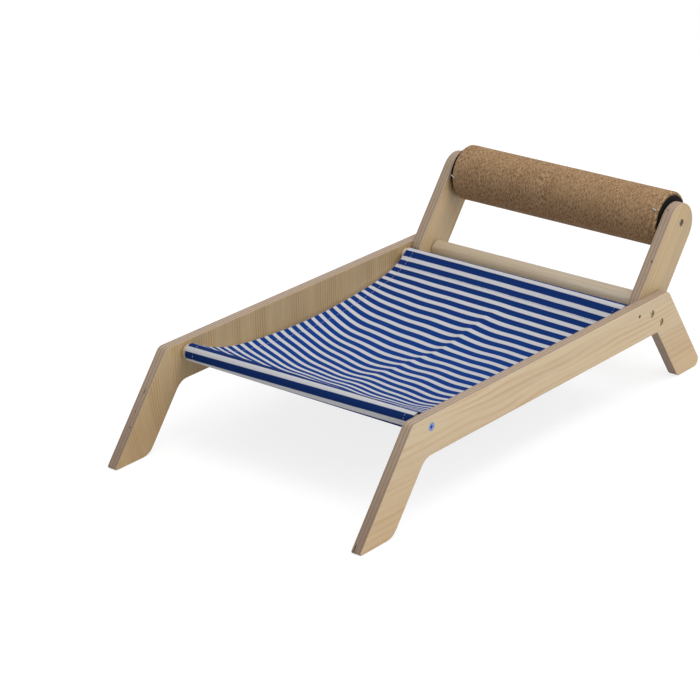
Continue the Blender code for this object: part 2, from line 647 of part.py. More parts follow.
def build_sling(bed, cloth):
    """The cloth: one sheet that laps round both cloth dowels and hangs between them."""
    bm = bmesh.new()
    faces = []
    for column in range(CLOTH_COLUMNS + 1):
        x = CLOTH_HALF * (2 * column / CLOTH_COLUMNS - 1)
        line = sling_section(x)
        upper, lower = [], []
        for index, point in enumerate(line):
            run = line[min(index + 1, len(line) - 1)] - line[max(index - 1, 0)]
            normal = Vector((-run.y, run.x)).normalized() * CLOTH_THICKNESS / 2
            for row, offset in ((upper, normal), (lower, -normal)):
                spot = point + offset
                row.append(bm.verts.new((x, spot.x, spot.y)))
        faces.append((upper, lower))
    rows = len(faces[0][0])
    for (upper, lower), (next_upper, next_lower) in zip(faces, faces[1:]):
        for row in range(rows - 1):
            bm.faces.new((upper[row], next_upper[row], next_upper[row + 1], upper[row + 1]))
            bm.faces.new((lower[row], lower[row + 1], next_lower[row + 1], next_lower[row]))
        for row in (0, rows - 1):
            bm.faces.new((upper[row], next_upper[row], next_lower[row], lower[row]))
    for upper, lower in (faces[0], faces[-1]):
        for row in range(rows - 1):
            bm.faces.new((upper[row], upper[row + 1], lower[row + 1], lower[row]))
    add_object("fabric_sling", mesh_of(bm, "fabric_sling"), cloth, bed)


def centre_on_origin(bed):
    """Move the carrying empty so that the origin is at the bottom centre of all pieces."""
    bpy.context.view_layer.update()
    view = bpy.context.evaluated_depsgraph_get()
    spots = []
    for piece in bpy.context.scene.objects:
        if piece.type == "MESH" and not piece.hide_render:
            placed = piece.evaluated_get(view)
            spots += [placed.matrix_world @ vert.co for vert in placed.data.vertices]
    for index in (0, 1):
        values = [spot[index] for spot in spots]
        bed.location[index] = -(min(values) + max(values)) / 2
    bed.location.z = -min(spot.z for spot in spots)
    bpy.context.view_layer.update()


def main():
    for old in list(bpy.data.objects):
        bpy.data.objects.remove(old)
    bed = bpy.data.objects.new("bed_origin", None)
    bpy.context.scene.collection.objects.link(bed)
    panel_wood = finish("panel plywood", (0.558, 0.429, 0.262), 0.55)
    post_wood = finish("post plywood", (0.527, 0.402, 0.246), 0.55)
    dowel_wood = finish("dowel wood", (0.546, 0.376, 0.242), 0.5)
    cloth = finish("striped cloth", (0.20, 0.25, 0.42), 0.85)
    sisal = finish("sisal", (0.262, 0.156, 0.080), 0.9)
    board = finish("tube board", (0.30, 0.22, 0.14), 0.8)
    plastic = finish("black plastic", (0.008, 0.007, 0.008), 0.45)
    blue_zinc = finish("blue zinc", (0.30, 0.42, 0.62), 0.3, 1.0)
    yellow_zinc = finish("yellow zinc", (0.56, 0.49, 0.22), 0.35, 1.0)
    steel = finish("bright steel", (0.56, 0.56, 0.58), 0.35, 1.0)
    build_side_panels(bed, panel_wood)
    build_posts(bed, post_wood)
    build_dowels(bed, dowel_wood)
    build_frame_fasteners(bed, blue_zinc, yellow_zinc, steel)
    build_roller(bed, sisal, board, plastic, steel)
    build_sling(bed, cloth)
    centre_on_origin(bed)


main()
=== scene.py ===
"""Cat scratcher bed: the looks of the bed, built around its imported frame.

Metres, +Z up. X runs across the bed and +Y towards the scratch roller. Effects that several finishes
share are node groups, each finish is a frozen dataclass, and each sub-assembly is a class of its own.
"""
import logging
import math
import random
from dataclasses import KW_ONLY, dataclass, field
from enum import Enum
from functools import cache

import bpy
import numpy as np
from mathutils import Matrix, Vector


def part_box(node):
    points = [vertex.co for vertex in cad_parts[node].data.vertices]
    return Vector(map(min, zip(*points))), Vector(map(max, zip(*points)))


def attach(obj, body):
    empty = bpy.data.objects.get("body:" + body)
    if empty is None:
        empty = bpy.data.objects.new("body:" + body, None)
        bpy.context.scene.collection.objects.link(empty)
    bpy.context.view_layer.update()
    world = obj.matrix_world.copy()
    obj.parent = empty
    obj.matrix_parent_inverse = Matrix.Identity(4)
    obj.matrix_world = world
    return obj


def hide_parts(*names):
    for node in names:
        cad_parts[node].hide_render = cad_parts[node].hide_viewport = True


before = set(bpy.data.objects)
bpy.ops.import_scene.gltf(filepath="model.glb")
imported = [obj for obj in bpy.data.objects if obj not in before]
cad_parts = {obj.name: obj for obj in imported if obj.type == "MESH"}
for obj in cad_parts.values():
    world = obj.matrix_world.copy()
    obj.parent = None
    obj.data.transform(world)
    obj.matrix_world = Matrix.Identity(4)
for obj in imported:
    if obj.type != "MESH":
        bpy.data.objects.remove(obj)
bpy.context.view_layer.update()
LOG = logging.getLogger("cat scratcher bed")

Colour = tuple[float, float, float]
Pair = tuple[float, float]
Ramp = tuple[float, float, float, float]
Spot = tuple[float, float, float]
Socket = bpy.types.NodeSocket
Node = bpy.types.Node
Tree = bpy.types.NodeTree
Material = bpy.types.Material
Piece = bpy.types.Object
SIDES = ("left", "right")


class SocketKind(Enum):
    """Kinds of socket that an effect can have."""

    VALUE = "NodeSocketFloat"
    VECTOR = "NodeSocketVector"


class GrainRun(Enum):
    """Which way the grain of a face veneer runs."""

    LENGTHWISE = "along the rail"
    UPRIGHT = "up the sheet"
    RAKED = "along the post"


def srgb(red: int, green: int, blue: int) -> Colour:
    """Turn a colour as it looks on a screen into the linear values that shaders take.

    Args:
        red: Red from 0 to 255.
        green: Green from 0 to 255.
        blue: Blue from 0 to 255.

    Returns:
        The three linear values.
    """
    top, toe, slope, offset, power = 255, 0.04045, 12.92, 0.055, 2.4
    shares = (value / top for value in (red, green, blue))
    return tuple(share / slope if share <= toe else ((share + offset) / (1 + offset)) ** power
                 for share in shares)


def axis_of(node: str) -> Vector:
    """Middle of a CAD node's box, which is on the axis of a turned piece."""
    low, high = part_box(node)
    return (low + high) / 2


def mesh_piece(name: str, points: np.ndarray, faces: list, material: Material) -> Piece:
    """Make a smooth-shaded mesh object.

    Args:
        name: Name of the piece.
        points: One row of three coordinates for each vertex.
        faces: Vertex numbers of each face.
        material: What the piece is dressed in.

    Returns:
        The new object, linked to the scene.
    """
    mesh = bpy.data.meshes.new(name)
    mesh.from_pydata(points.tolist(), [], faces)
    mesh.materials.append(material)
    mesh.shade_smooth()
    mesh.validate()
    made = bpy.data.objects.new(name, mesh)
    bpy.context.scene.collection.objects.link(made)
    return made


def grid_faces(rows: int, columns: int, start: int = 0, wrap: bool = False, flip: bool = False) -> list:
    """Quads of a grid of vertices that are numbered row by row.

    Args:
        rows: Number of rows.
        columns: Number of vertices in a row.
        start: Number of the first vertex.
        wrap: Whether each row closes on itself.
        flip: Whether the quads look the other way.

    Returns:
        The quads.
    """
    faces = []
    for row in range(rows - 1):
        for column in range(columns if wrap else columns - 1):
            beside = (column + 1) % columns
            quad = [start + row * columns + column, start + row * columns + beside,
                    start + (row + 1) * columns + beside, start + (row + 1) * columns + column]
            faces.append(quad[::-1] if flip else quad)
    return faces


class Graph:
    """A node tree, with short ways to add nodes and to join them."""

    def __init__(self, tree: Tree) -> None:
        """Work on this tree."""
        self.tree = tree

    def feed(self, socket: Socket, value: object) -> None:
        """Link a socket to another one, or set its value.

        Args:
            socket: The input that is fed.
            value: An output socket, a number, a vector or a colour.
        """
        if isinstance(value, Socket):
            self.tree.links.new(value, socket)
        elif socket.type == "RGBA" and len(value) == 3:
            socket.default_value = (*value, 1.0)
        else:
            socket.default_value = value

    def node(self, kind: str, inputs: dict | None = None, **settings: object) -> Node:
        """Add a node.

        Args:
            kind: Blender's name for the kind of node.
            inputs: What feeds its inputs, by their name or number.
            settings: Its other settings.

        Returns:
            The new node.
        """
        made = self.tree.nodes.new(kind)
        for name, value in settings.items():
            setattr(made, name, value)
        self.fill(made, inputs or {})
        return made

    def fill(self, node: Node, inputs: dict) -> None:
        """Feed some inputs of a node, by their name or number."""
        for name, value in inputs.items():
            self.feed(node.inputs[name], value)

    def math(self, operation: str, *values: object) -> Socket:
        """Result of a sum on one, two or three numbers."""
        return self.node("ShaderNodeMath", dict(enumerate(values)), operation=operation).outputs[0]

    def vector(self, operation: str, *values: object) -> Socket:
        """Result of a sum on vectors, which is a number for a length."""
        made = self.node("ShaderNodeVectorMath", dict(enumerate(values)), operation=operation)
        return made.outputs["Value" if operation == "LENGTH" else "Vector"]

    def split(self, vector: Socket) -> tuple[Socket, Socket, Socket]:
        """The three numbers of a vector."""
        return tuple(self.node("ShaderNodeSeparateXYZ", {0: vector}).outputs)

    def join(self, x: object, y: object, z: object) -> Socket:
        """A vector of three numbers."""
        return self.node("ShaderNodeCombineXYZ", {0: x, 1: y, 2: z}).outputs[0]

    def blend(self, share: object, first: object, second: object) -> Socket:
        """Colour between a first and a second one."""
        return self.node("ShaderNodeMix", {0: share, 6: first, 7: second}, data_type="RGBA").outputs[2]

    def between(self, share: object, first: object, second: object) -> Socket:
        """Number between a first and a second one."""
        return self.node("ShaderNodeMix", {0: share, 2: first, 3: second}).outputs[0]

    def ramp(self, value: object, low: float, high: float, start: float = 0.0, end: float = 1.0) -> Socket:
        """Take a number smoothly from one range to another.

        Args:
            value: The number.
            low: Where the first range starts.
            high: Where the first range ends.
            start: The result at low.
            end: The result at high.

        Returns:
            The result.
        """
        return self.node("ShaderNodeMapRange", {0: value, 1: low, 2: high, 3: start, 4: end},
                         interpolation_type="SMOOTHSTEP").outputs[0]

    def noise(self, place: Socket, stretch: tuple, detail: float = 2.0) -> Socket:
        """Noise from 0 to 1, with its own number of waves in a metre on each axis."""
        spot = self.vector("MULTIPLY", place, stretch)
        return self.node("ShaderNodeTexNoise", {"Vector": spot, "Scale": 1.0, "Detail": detail}).outputs[0]

    def effect(self, tree: Tree, inputs: dict) -> dict[str, Socket]:
        """Outputs by name of an effect whose inputs are fed by name."""
        made = self.node("ShaderNodeGroup", inputs, node_tree=tree)
        return {socket.name: socket for socket in made.outputs}

    def place(self) -> Socket:
        """Place in the row frame."""
        return self.node("ShaderNodeTexCoord").outputs["Object"]

    def off_half(self, count: Socket) -> Socket:
        """How far a number lies from the middle between two whole ones, from -0.5 to 0.5."""
        return self.math("SUBTRACT", self.math("FRACT", count), 0.5)

    def seen(self) -> Socket:
        """Tell the rays that show a surface from those that only light it.

        Returns:
            1 for a camera, mirror or clear ray, and 0 for any other.
        """
        rays = self.node("ShaderNodeLightPath").outputs
        return self.math("MAXIMUM", rays["Is Camera Ray"],
                         self.math("MAXIMUM", rays["Is Glossy Ray"], rays["Is Transmission Ray"]))


def new_effect(name: str, vectors: tuple[str, ...], values: tuple[str, ...], gives: tuple[str, ...]
               ) -> tuple[Graph, bpy.types.NodeOutputs, bpy.types.NodeInputs]:
    """Start a node group.

    Args:
        name: Name of the effect.
        vectors: Names of the inputs that are vectors.
        values: Names of the inputs that are numbers.
        gives: Names of its outputs, which are all numbers.

    Returns:
        The graph inside the group, and the sockets by name that give its inputs and take its outputs.
    """
    tree = bpy.data.node_groups.new(name, "ShaderNodeTree")
    for way, labels, kind in (("INPUT", vectors, SocketKind.VECTOR), ("INPUT", values, SocketKind.VALUE),
                              ("OUTPUT", gives, SocketKind.VALUE)):
        for label in labels:
            tree.interface.new_socket(label, in_out=way, socket_type=kind.value)
    graph = Graph(tree)
    return graph, graph.node("NodeGroupInput").outputs, graph.node("NodeGroupOutput").inputs


@cache
def wood_grain() -> Tree:
    """Make growth rings, hair-fine fibres and broad patches, with X of Place along the grain.

    Returns:
        The node group.
    """
    graph, takes, gives = new_effect("wood grain", ("Place",), ("Spacing", "Wander"),
                                     ("Rings", "Fibres", "Patches"))
    place = takes["Place"]
    drift = graph.math("SUBTRACT", graph.noise(place, (5.5, 19, 23), 1.5), 0.5)
    across = graph.split(place)[1]
    count = graph.math("ADD", graph.math("DIVIDE", across, takes["Spacing"]),
                       graph.math("MULTIPLY", drift, takes["Wander"]))
    saw = graph.math("FRACT", count)
    rise = graph.ramp(saw, 0.30, 0.88)
    fall = graph.ramp(saw, 0.90, 1.0, 1.0, 0.0)
    fade = graph.ramp(graph.noise(place, (7, 55, 40)), 0.36, 0.66, 0.12, 1.0)
    rings = graph.math("MULTIPLY", graph.math("MULTIPLY", rise, fall), fade)
    graph.feed(gives["Rings"], rings)
    graph.feed(gives["Fibres"], graph.noise(place, (38, 1150, 1150), 3.0))
    graph.feed(gives["Patches"], graph.ramp(graph.noise(place, (3.5, 62, 62), 1.0), 0.33, 0.67))
    return graph.tree


@cache
def ply_layers() -> Tree:
    """Make plies, glue lines and sawn fibres of a cut edge. Depth is 0 to 1 through the sheet.

    Returns:
        The node group.
    """
    plies = 6.0
    graph, takes, gives = new_effect("ply layers", ("Place",), ("Depth",), ("Ply", "Glue", "Fibres"))
    place = takes["Place"]
    waver = graph.math("MULTIPLY_ADD", graph.noise(place, (30, 30, 30), 1.0), 0.5, 0.25)
    count = graph.math("ADD", graph.math("MULTIPLY", takes["Depth"], plies), waver)
    turned = graph.math("PINGPONG", graph.math("ADD", count, 0.5), 1.0)
    graph.feed(gives["Ply"], graph.ramp(turned, 0.34, 0.66))
    off_middle = graph.math("ABSOLUTE", graph.off_half(count))
    graph.feed(gives["Glue"], graph.ramp(off_middle, 0.40, 0.50))
    graph.feed(gives["Fibres"], graph.noise(place, (900, 150, 150), 3.0))
    return graph.tree


@cache
def open_void() -> Tree:
    """Make one small gap in an inner ply, where Lean turns its length from Y about X.

    Returns:
        The node group.
    """
    graph, takes, gives = new_effect("open void", ("Place", "Centre"), ("Lean", "Length", "Height"),
                                     ("Mask",))
    off = graph.vector("SUBTRACT", takes["Place"], takes["Centre"])
    turned = graph.node("ShaderNodeVectorRotate", {"Vector": off, "Angle": takes["Lean"]},
                        rotation_type="X_AXIS").outputs[0]
    size = graph.join(takes["Height"], takes["Length"], takes["Length"])
    reach = graph.vector("LENGTH", graph.vector("DIVIDE", turned, size))
    ragged = graph.math("MULTIPLY_ADD", graph.noise(takes["Place"], (700, 700, 700)), 0.5, reach)
    graph.feed(gives["Mask"], graph.ramp(ragged, 0.55, 0.95, 1.0, 0.0))
    return graph.tree


@cache
def soft_mottle() -> Tree:
    """Make the uneven tone of handling and light dust, in two sizes.

    Returns:
        The node group.
    """
    graph, takes, gives = new_effect("soft mottle", ("Place",), (), ("Broad", "Specks"))
    graph.feed(gives["Broad"], graph.noise(takes["Place"], (28, 28, 28), 2.0))
    specks = graph.noise(takes["Place"], (1500, 1500, 1500), 1.0)
    graph.feed(gives["Specks"], graph.ramp(specks, 0.62, 0.76))
    return graph.tree


@cache
def twill_weave() -> Tree:
    """Make the yarns of a two-over-one twill on a flat cloth whose Place is in metres.

    Returns:
        The node group.
    """
    graph, takes, gives = new_effect("twill weave", ("Place",), ("Pitch",), ("Height", "Slubs"))
    steps = graph.vector("DIVIDE", takes["Place"], graph.join(takes["Pitch"], takes["Pitch"], 1.0))
    u, v, _ = graph.split(steps)
    order = graph.math("ADD", graph.math("FLOOR", u), graph.math("FLOOR", v))
    over = graph.math("LESS_THAN", graph.math("FLOORED_MODULO", order, 3.0), 1.5)
    crowns = [graph.math("ABSOLUTE", graph.math("SINE", graph.math("MULTIPLY", value, math.pi)))
              for value in (u, v)]
    under = graph.math("SUBTRACT", 1.0, over)
    height = graph.math("ADD", graph.math("MULTIPLY", crowns[0], over),
                        graph.math("MULTIPLY", crowns[1], under))
    graph.feed(gives["Height"], height)
    warp = graph.noise(takes["Place"], (1900, 45, 1), 1.0)
    weft = graph.noise(takes["Place"], (45, 1900, 1), 1.0)
    graph.feed(gives["Slubs"], graph.math("MULTIPLY", graph.math("ADD", warp, weft), 0.5))
    return graph.tree


@dataclass(frozen=True)
class Lay:
    """How the twine lies on the roller, for the mesh and for the finish alike."""

    pitch: float = 0.0034
    strand: float = 0.004333
    slant: float = 1.36
    slot_lean: float = -0.12
    radius: float = 0.030


LAY = Lay()


@cache
def wound_twine() -> Tree:
    """Make the grooves of wound twine. Place has X along the roller and its axis at 0.

    Returns:
        The node group.
    """
    graph, takes, gives = new_effect("wound twine", ("Place",), (),
                                     ("Turn Groove", "Strand Groove", "Fibres", "Tone", "Slots"))
    x, y, z = graph.split(takes["Place"])
    angle = graph.math("ARCTAN2", z, y)
    turn = graph.math("SUBTRACT", graph.math("DIVIDE", x, LAY.pitch), graph.math("DIVIDE", angle, math.tau))
    across = graph.off_half(turn)
    around = graph.math("MULTIPLY_ADD", graph.math("FLOOR", turn), math.tau, angle)
    along = graph.math("MULTIPLY", around, LAY.radius)
    laid = graph.join(graph.math("FLOOR", turn), along, 0.0)
    uneven = graph.noise(laid, (7.3, 60, 1), 1.0)
    strand = graph.math("ADD", graph.math("MULTIPLY_ADD", across, LAY.slant, uneven),
                        graph.math("DIVIDE", along, LAY.strand))
    off_strand = graph.math("ABSOLUTE", graph.off_half(strand))
    graph.feed(gives["Turn Groove"], graph.ramp(graph.math("ABSOLUTE", across), 0.26, 0.5))
    graph.feed(gives["Strand Groove"], graph.ramp(off_strand, 0.26, 0.5))
    yarn = graph.join(graph.math("ADD", strand, turn), along, 0.0)
    graph.feed(gives["Fibres"], graph.noise(yarn, (14, 90, 1), 3.0))
    graph.feed(gives["Tone"], graph.noise(laid, (3.1, 22, 1), 1.0))
    unrolled = graph.join(x, along, 0.0)
    leaning = graph.node("ShaderNodeVectorRotate", {"Vector": unrolled, "Angle": LAY.slot_lean},
                         rotation_type="Z_AXIS").outputs[0]
    graph.feed(gives["Slots"], graph.ramp(graph.noise(leaning, (1150, 250, 1), 0.0), 0.36, 0.58, 1.0, 0.0))
    return graph.tree


@dataclass(frozen=True)
class Finish:
    """What every finish has: a name, how rough it is and how unevenly so, its relief and its shine."""

    name: str
    roughness: float
    _: KW_ONLY
    uneven: float = 0.0
    relief: float = 0.00005
    specular: float = 0.5
    metallic: float = 0.0

    def look(self, graph: Graph) -> tuple[Socket, Socket, Socket]:
        """Colour, unevenness of the roughness from 0 to 1, and height."""
        raise NotImplementedError(self.name)

    def build(self) -> Material:
        """Make the material.

        Returns:
            The material.
        """
        made = bpy.data.materials.new(self.name)
        made.use_nodes = True
        graph, shader = Graph(made.node_tree), made.node_tree.nodes["Principled BSDF"]
        colour, patches, height = self.look(graph)
        graph.fill(shader, {
            "Base Color": colour, "Roughness": self.roughness, "Metallic": self.metallic,
            "Specular IOR Level": self.specular,
            "Normal": graph.node("ShaderNodeBump", {"Distance": self.relief, "Height": height}).outputs[0]})
        if self.uneven:
            rough = graph.math("MULTIPLY_ADD", patches, self.uneven, self.roughness - self.uneven / 2)
            graph.feed(shader.inputs["Roughness"], rough)
        return made


@dataclass(frozen=True)
class Veneer:
    """One face veneer: its tones, how far apart its rings are, and which way it runs."""

    pale: Colour
    grey: Colour
    ring: Colour
    spacing: float
    wander: float
    contrast: float
    run: GrainRun


@dataclass(frozen=True)
class Void:
    """A gap in an inner ply that shows on a cut edge."""

    centre: Spot
    lean: float
    length: float
    height: float


@dataclass(frozen=True)
class PlywoodFinish(Finish):
    """Plywood whose two faces and layered edges each have their own look."""

    outer: Veneer
    inner: Veneer
    inner_face: float
    thickness: float
    voids: tuple[Void, ...] = ()
    _: KW_ONLY
    uneven: float = 0.16
    relief: float = 0.00012
    # Painted shade towards the feet: the heights over which it fades in, and how dark it gets.
    foot_shade_heights: Pair = (0.015, 0.098)
    foot_shade_depth: float = 0.42
    rake: float = 37.4
    bow: float = 2.15
    bow_height: float = 0.095
    face_normals: Pair = (0.72, 0.93)
    streaks: Ramp = (0.45, 0.75, 0.0, 0.28)
    ring_height: float = 0.35
    speckles: Ramp = (0.35, 0.75, 0.0, 0.5)
    glue_share: float = 0.35
    glue_depth: float = 0.6
    void_depth: float = 4.0
    light_ply: Colour = srgb(168, 148, 127)
    dark_ply: Colour = srgb(148, 126, 106)
    glue: Colour = srgb(98, 74, 60)
    # The dark colour of a void is painted shade inside the gap.
    void: Colour = srgb(84, 50, 38)

    def along_grain(self, graph: Graph, place: Socket, run: GrainRun) -> Socket:
        """Turn a place so that X runs along the grain of a face.

        Args:
            graph: The material's graph.
            place: Place in the row frame.
            run: Which way the grain runs.

        Returns:
            The turned place.
        """
        x, y, z = graph.split(place)
        if run is GrainRun.LENGTHWISE:
            return graph.join(y, z, x)
        if run is GrainRun.RAKED:
            sine, cosine = math.sin(math.radians(self.rake)), math.cos(math.radians(self.rake))
            along = graph.math("MULTIPLY_ADD", y, sine, graph.math("MULTIPLY", z, cosine))
            across = graph.math("MULTIPLY_ADD", y, cosine, graph.math("MULTIPLY", z, -sine))
            return graph.join(along, across, x)
        below = graph.math("MAXIMUM", graph.math("SUBTRACT", self.bow_height, z), 0.0)
        bowed = graph.math("MULTIPLY", graph.math("MULTIPLY", below, below), -self.bow)
        return graph.join(z, graph.math("ADD", y, bowed), x)

    def low(self, graph: Graph, place: Socket) -> Socket:
        """Painted shade: how far the wood is darkened towards the feet."""
        return graph.ramp(graph.split(place)[2], *self.foot_shade_heights, self.foot_shade_depth, 0.0)

    def face(self, graph: Graph, place: Socket, veneer: Veneer) -> tuple[Socket, Socket]:
        """Colour and height of one face.

        Args:
            graph: The material's graph.
            place: Place in the row frame.
            veneer: The veneer of this face.

        Returns:
            The colour and the height.
        """
        grain = graph.effect(wood_grain(), {"Place": self.along_grain(graph, place, veneer.run),
                                            "Spacing": veneer.spacing, "Wander": veneer.wander})
        tone = graph.blend(grain["Patches"], veneer.pale, veneer.grey)
        # Painted shade: the face darkens towards the feet.
        tone = graph.blend(self.low(graph, place), tone, veneer.ring)
        ringed = graph.blend(graph.math("MULTIPLY", grain["Rings"], veneer.contrast), tone, veneer.ring)
        thin = graph.ramp(grain["Fibres"], *self.streaks)
        height = graph.math("MULTIPLY_ADD", grain["Rings"], self.ring_height, grain["Fibres"])
        return graph.blend(thin, ringed, veneer.ring), height

    def edge(self, graph: Graph, place: Socket) -> tuple[Socket, Socket]:
        """Colour and height of the sawn edges.

        Args:
            graph: The material's graph.
            place: Place in the row frame.

        Returns:
            The colour and the height.
        """
        x = graph.split(place)[0]
        inside = graph.math("SUBTRACT", graph.math("ABSOLUTE", x), self.inner_face)
        layers = graph.effect(ply_layers(), {"Place": place,
                                             "Depth": graph.math("DIVIDE", inside, self.thickness)})
        plies = graph.blend(layers["Ply"], self.dark_ply, self.light_ply)
        speckled = graph.blend(graph.ramp(layers["Fibres"], *self.speckles), plies, self.dark_ply)
        lined = graph.blend(graph.math("MULTIPLY", layers["Glue"], self.glue_share), speckled, self.glue)
        height = graph.math("MULTIPLY_ADD", layers["Glue"], -self.glue_depth, layers["Fibres"])
        # Painted shade: the edges darken towards the feet as well.
        return graph.blend(self.low(graph, place), lined, self.glue), height

    def look(self, graph: Graph) -> tuple[Socket, Socket, Socket]:
        """Put the veneers on the faces and the plies on the edges, and open the voids with painted shade
        inside them.

        Args:
            graph: The material's graph.

        Returns:
            The colour, the unevenness of the roughness, and the height.
        """
        spot = graph.node("ShaderNodeTexCoord")
        place = spot.outputs["Object"]
        facing = graph.split(spot.outputs["Normal"])[0]
        outwards = graph.math("GREATER_THAN", graph.math("MULTIPLY", graph.split(place)[0], facing), 0.0)
        on_face = graph.ramp(graph.math("ABSOLUTE", facing), *self.face_normals)
        outer, outer_height = self.face(graph, place, self.outer)
        inner, inner_height = self.face(graph, place, self.inner)
        edge, edge_height = self.edge(graph, place)
        colour = graph.blend(on_face, edge, graph.blend(outwards, inner, outer))
        height = graph.between(on_face, edge_height, graph.between(outwards, inner_height, outer_height))
        for void in self.voids:
            mask = graph.effect(open_void(), {
                "Place": place, "Centre": void.centre, "Lean": math.radians(void.lean),
                "Length": void.length, "Height": void.height})["Mask"]
            # Painted shade inside the void.
            colour = graph.blend(mask, colour, self.void)
            height = graph.math("MULTIPLY_ADD", mask, -self.void_depth, height)
        return colour, graph.effect(soft_mottle(), {"Place": place})["Broad"], height


@dataclass(frozen=True)
class DowelFinish(Finish):
    """Turned softwood with its grain along X and darker sawn ends."""

    pale: Colour
    warm: Colour
    ring: Colour
    _: KW_ONLY
    uneven: float = 0.2
    relief: float = 0.0001
    spacing: float = 0.0045
    wander: float = 2.4
    contrast: float = 0.5
    streaks: Ramp = (0.45, 0.75, 0.0, 0.3)
    end_dark: Ramp = (0.8, 0.95, 0.0, 0.45)

    def look(self, graph: Graph) -> tuple[Socket, Socket, Socket]:
        """Lay the grain along the dowel, and darken its ends.

        Args:
            graph: The material's graph.

        Returns:
            The colour, the unevenness of the roughness, and the height.
        """
        spot = graph.node("ShaderNodeTexCoord")
        grain = graph.effect(wood_grain(), {"Place": spot.outputs["Object"], "Spacing": self.spacing,
                                            "Wander": self.wander})
        tone = graph.blend(grain["Patches"], self.pale, self.warm)
        ringed = graph.blend(graph.math("MULTIPLY", grain["Rings"], self.contrast), tone, self.ring)
        fine = graph.blend(graph.ramp(grain["Fibres"], *self.streaks), ringed, self.ring)
        end = graph.ramp(graph.math("ABSOLUTE", graph.split(spot.outputs["Normal"])[0]), *self.end_dark)
        return graph.blend(end, fine, self.ring), grain["Fibres"], grain["Fibres"]


@dataclass(frozen=True)
class ClothFinish(Finish):
    """Printed cotton twill with even cross stripes, read from the cloth's own flat measure."""

    white: Colour
    blue: Colour
    faded: Colour
    # Blue with painted shade, for the front sleeve and the rear part.
    deep: Colour
    shade: Colour
    span: float
    uv_name: str
    first_stripe: float
    period: float
    duty: float
    _: KW_ONLY
    uneven: float = 0.14
    specular: float = 0.15
    soft: float = 0.030
    waver: float = 0.0004
    # Painted shade on the blue: how it darkens towards the rear and on the front sleeve.
    rear_painted_shade: Ramp = (0.55, 1.0, 0.0, 0.6)
    front_painted_shade: Ramp = (-0.02, 0.01, 0.75, 0.0)
    worn: Ramp = (0.42, 0.66, 0.0, 0.35)
    dusk: Ramp = (0.0, 0.7, 0.06, 0.0)
    slub_height: float = 0.8
    yarn: float = 0.00055

    def look(self, graph: Graph) -> tuple[Socket, Socket, Socket]:
        """Print the stripes on the twill, with painted shade on the blue of the front sleeve and of the rear
        part, and in the valleys of the weave.

        Args:
            graph: The material's graph.

        Returns:
            The colour, the unevenness of the roughness, and the height.
        """
        flat = graph.node("ShaderNodeUVMap", uv_map=self.uv_name).outputs[0]
        weave = graph.effect(twill_weave(), {"Place": flat, "Pitch": self.yarn})
        waver = graph.math("MULTIPLY_ADD", graph.noise(flat, (40, 40, 1), 2.0), self.waver, -self.waver / 2)
        measure = graph.math("ADD", graph.split(flat)[1], waver)
        count = graph.math("DIVIDE", graph.math("SUBTRACT", self.first_stripe, measure), self.period)
        off = graph.math("ABSOLUTE", graph.off_half(graph.math("ADD", count, 0.5 - self.duty / 2)))
        inked = graph.ramp(off, self.duty / 2 - self.soft, self.duty / 2 + self.soft, 1.0, 0.0)
        blue = graph.blend(graph.ramp(weave["Slubs"], *self.worn), self.blue, self.faded)
        share = graph.math("DIVIDE", measure, self.span)
        # Painted shade: the blue is darkened on the front sleeve and towards the rear.
        painted_shade = graph.math("MAXIMUM", graph.ramp(share, *self.rear_painted_shade), graph.ramp(share, *self.front_painted_shade))
        blue = graph.blend(painted_shade, blue, self.deep)
        striped = graph.blend(inked, self.white, blue)
        colour = graph.blend(graph.ramp(weave["Height"], *self.dusk), striped, self.shade)
        height = graph.math("MULTIPLY_ADD", weave["Slubs"], self.slub_height, weave["Height"])
        return colour, weave["Slubs"], height


@dataclass(frozen=True)
class ThreadFinish(Finish):
    """Sewing thread, with a painted highlight on the crowns of its twist and painted shade between them."""

    # The painted highlight of the thread, then its painted shade.
    pale: Colour
    shaded: Colour
    twist: Pair = (0.35, 0.65)

    def look(self, graph: Graph) -> tuple[Socket, Socket, Socket]:
        """Colour of the twisted yarn with its painted highlight and shade, and its twist as the unevenness
        and the height.
        """
        twist = graph.noise(graph.place(), (2600, 2600, 2600), 1.0)
        return graph.blend(graph.ramp(twist, *self.twist), self.shaded, self.pale), twist, twist


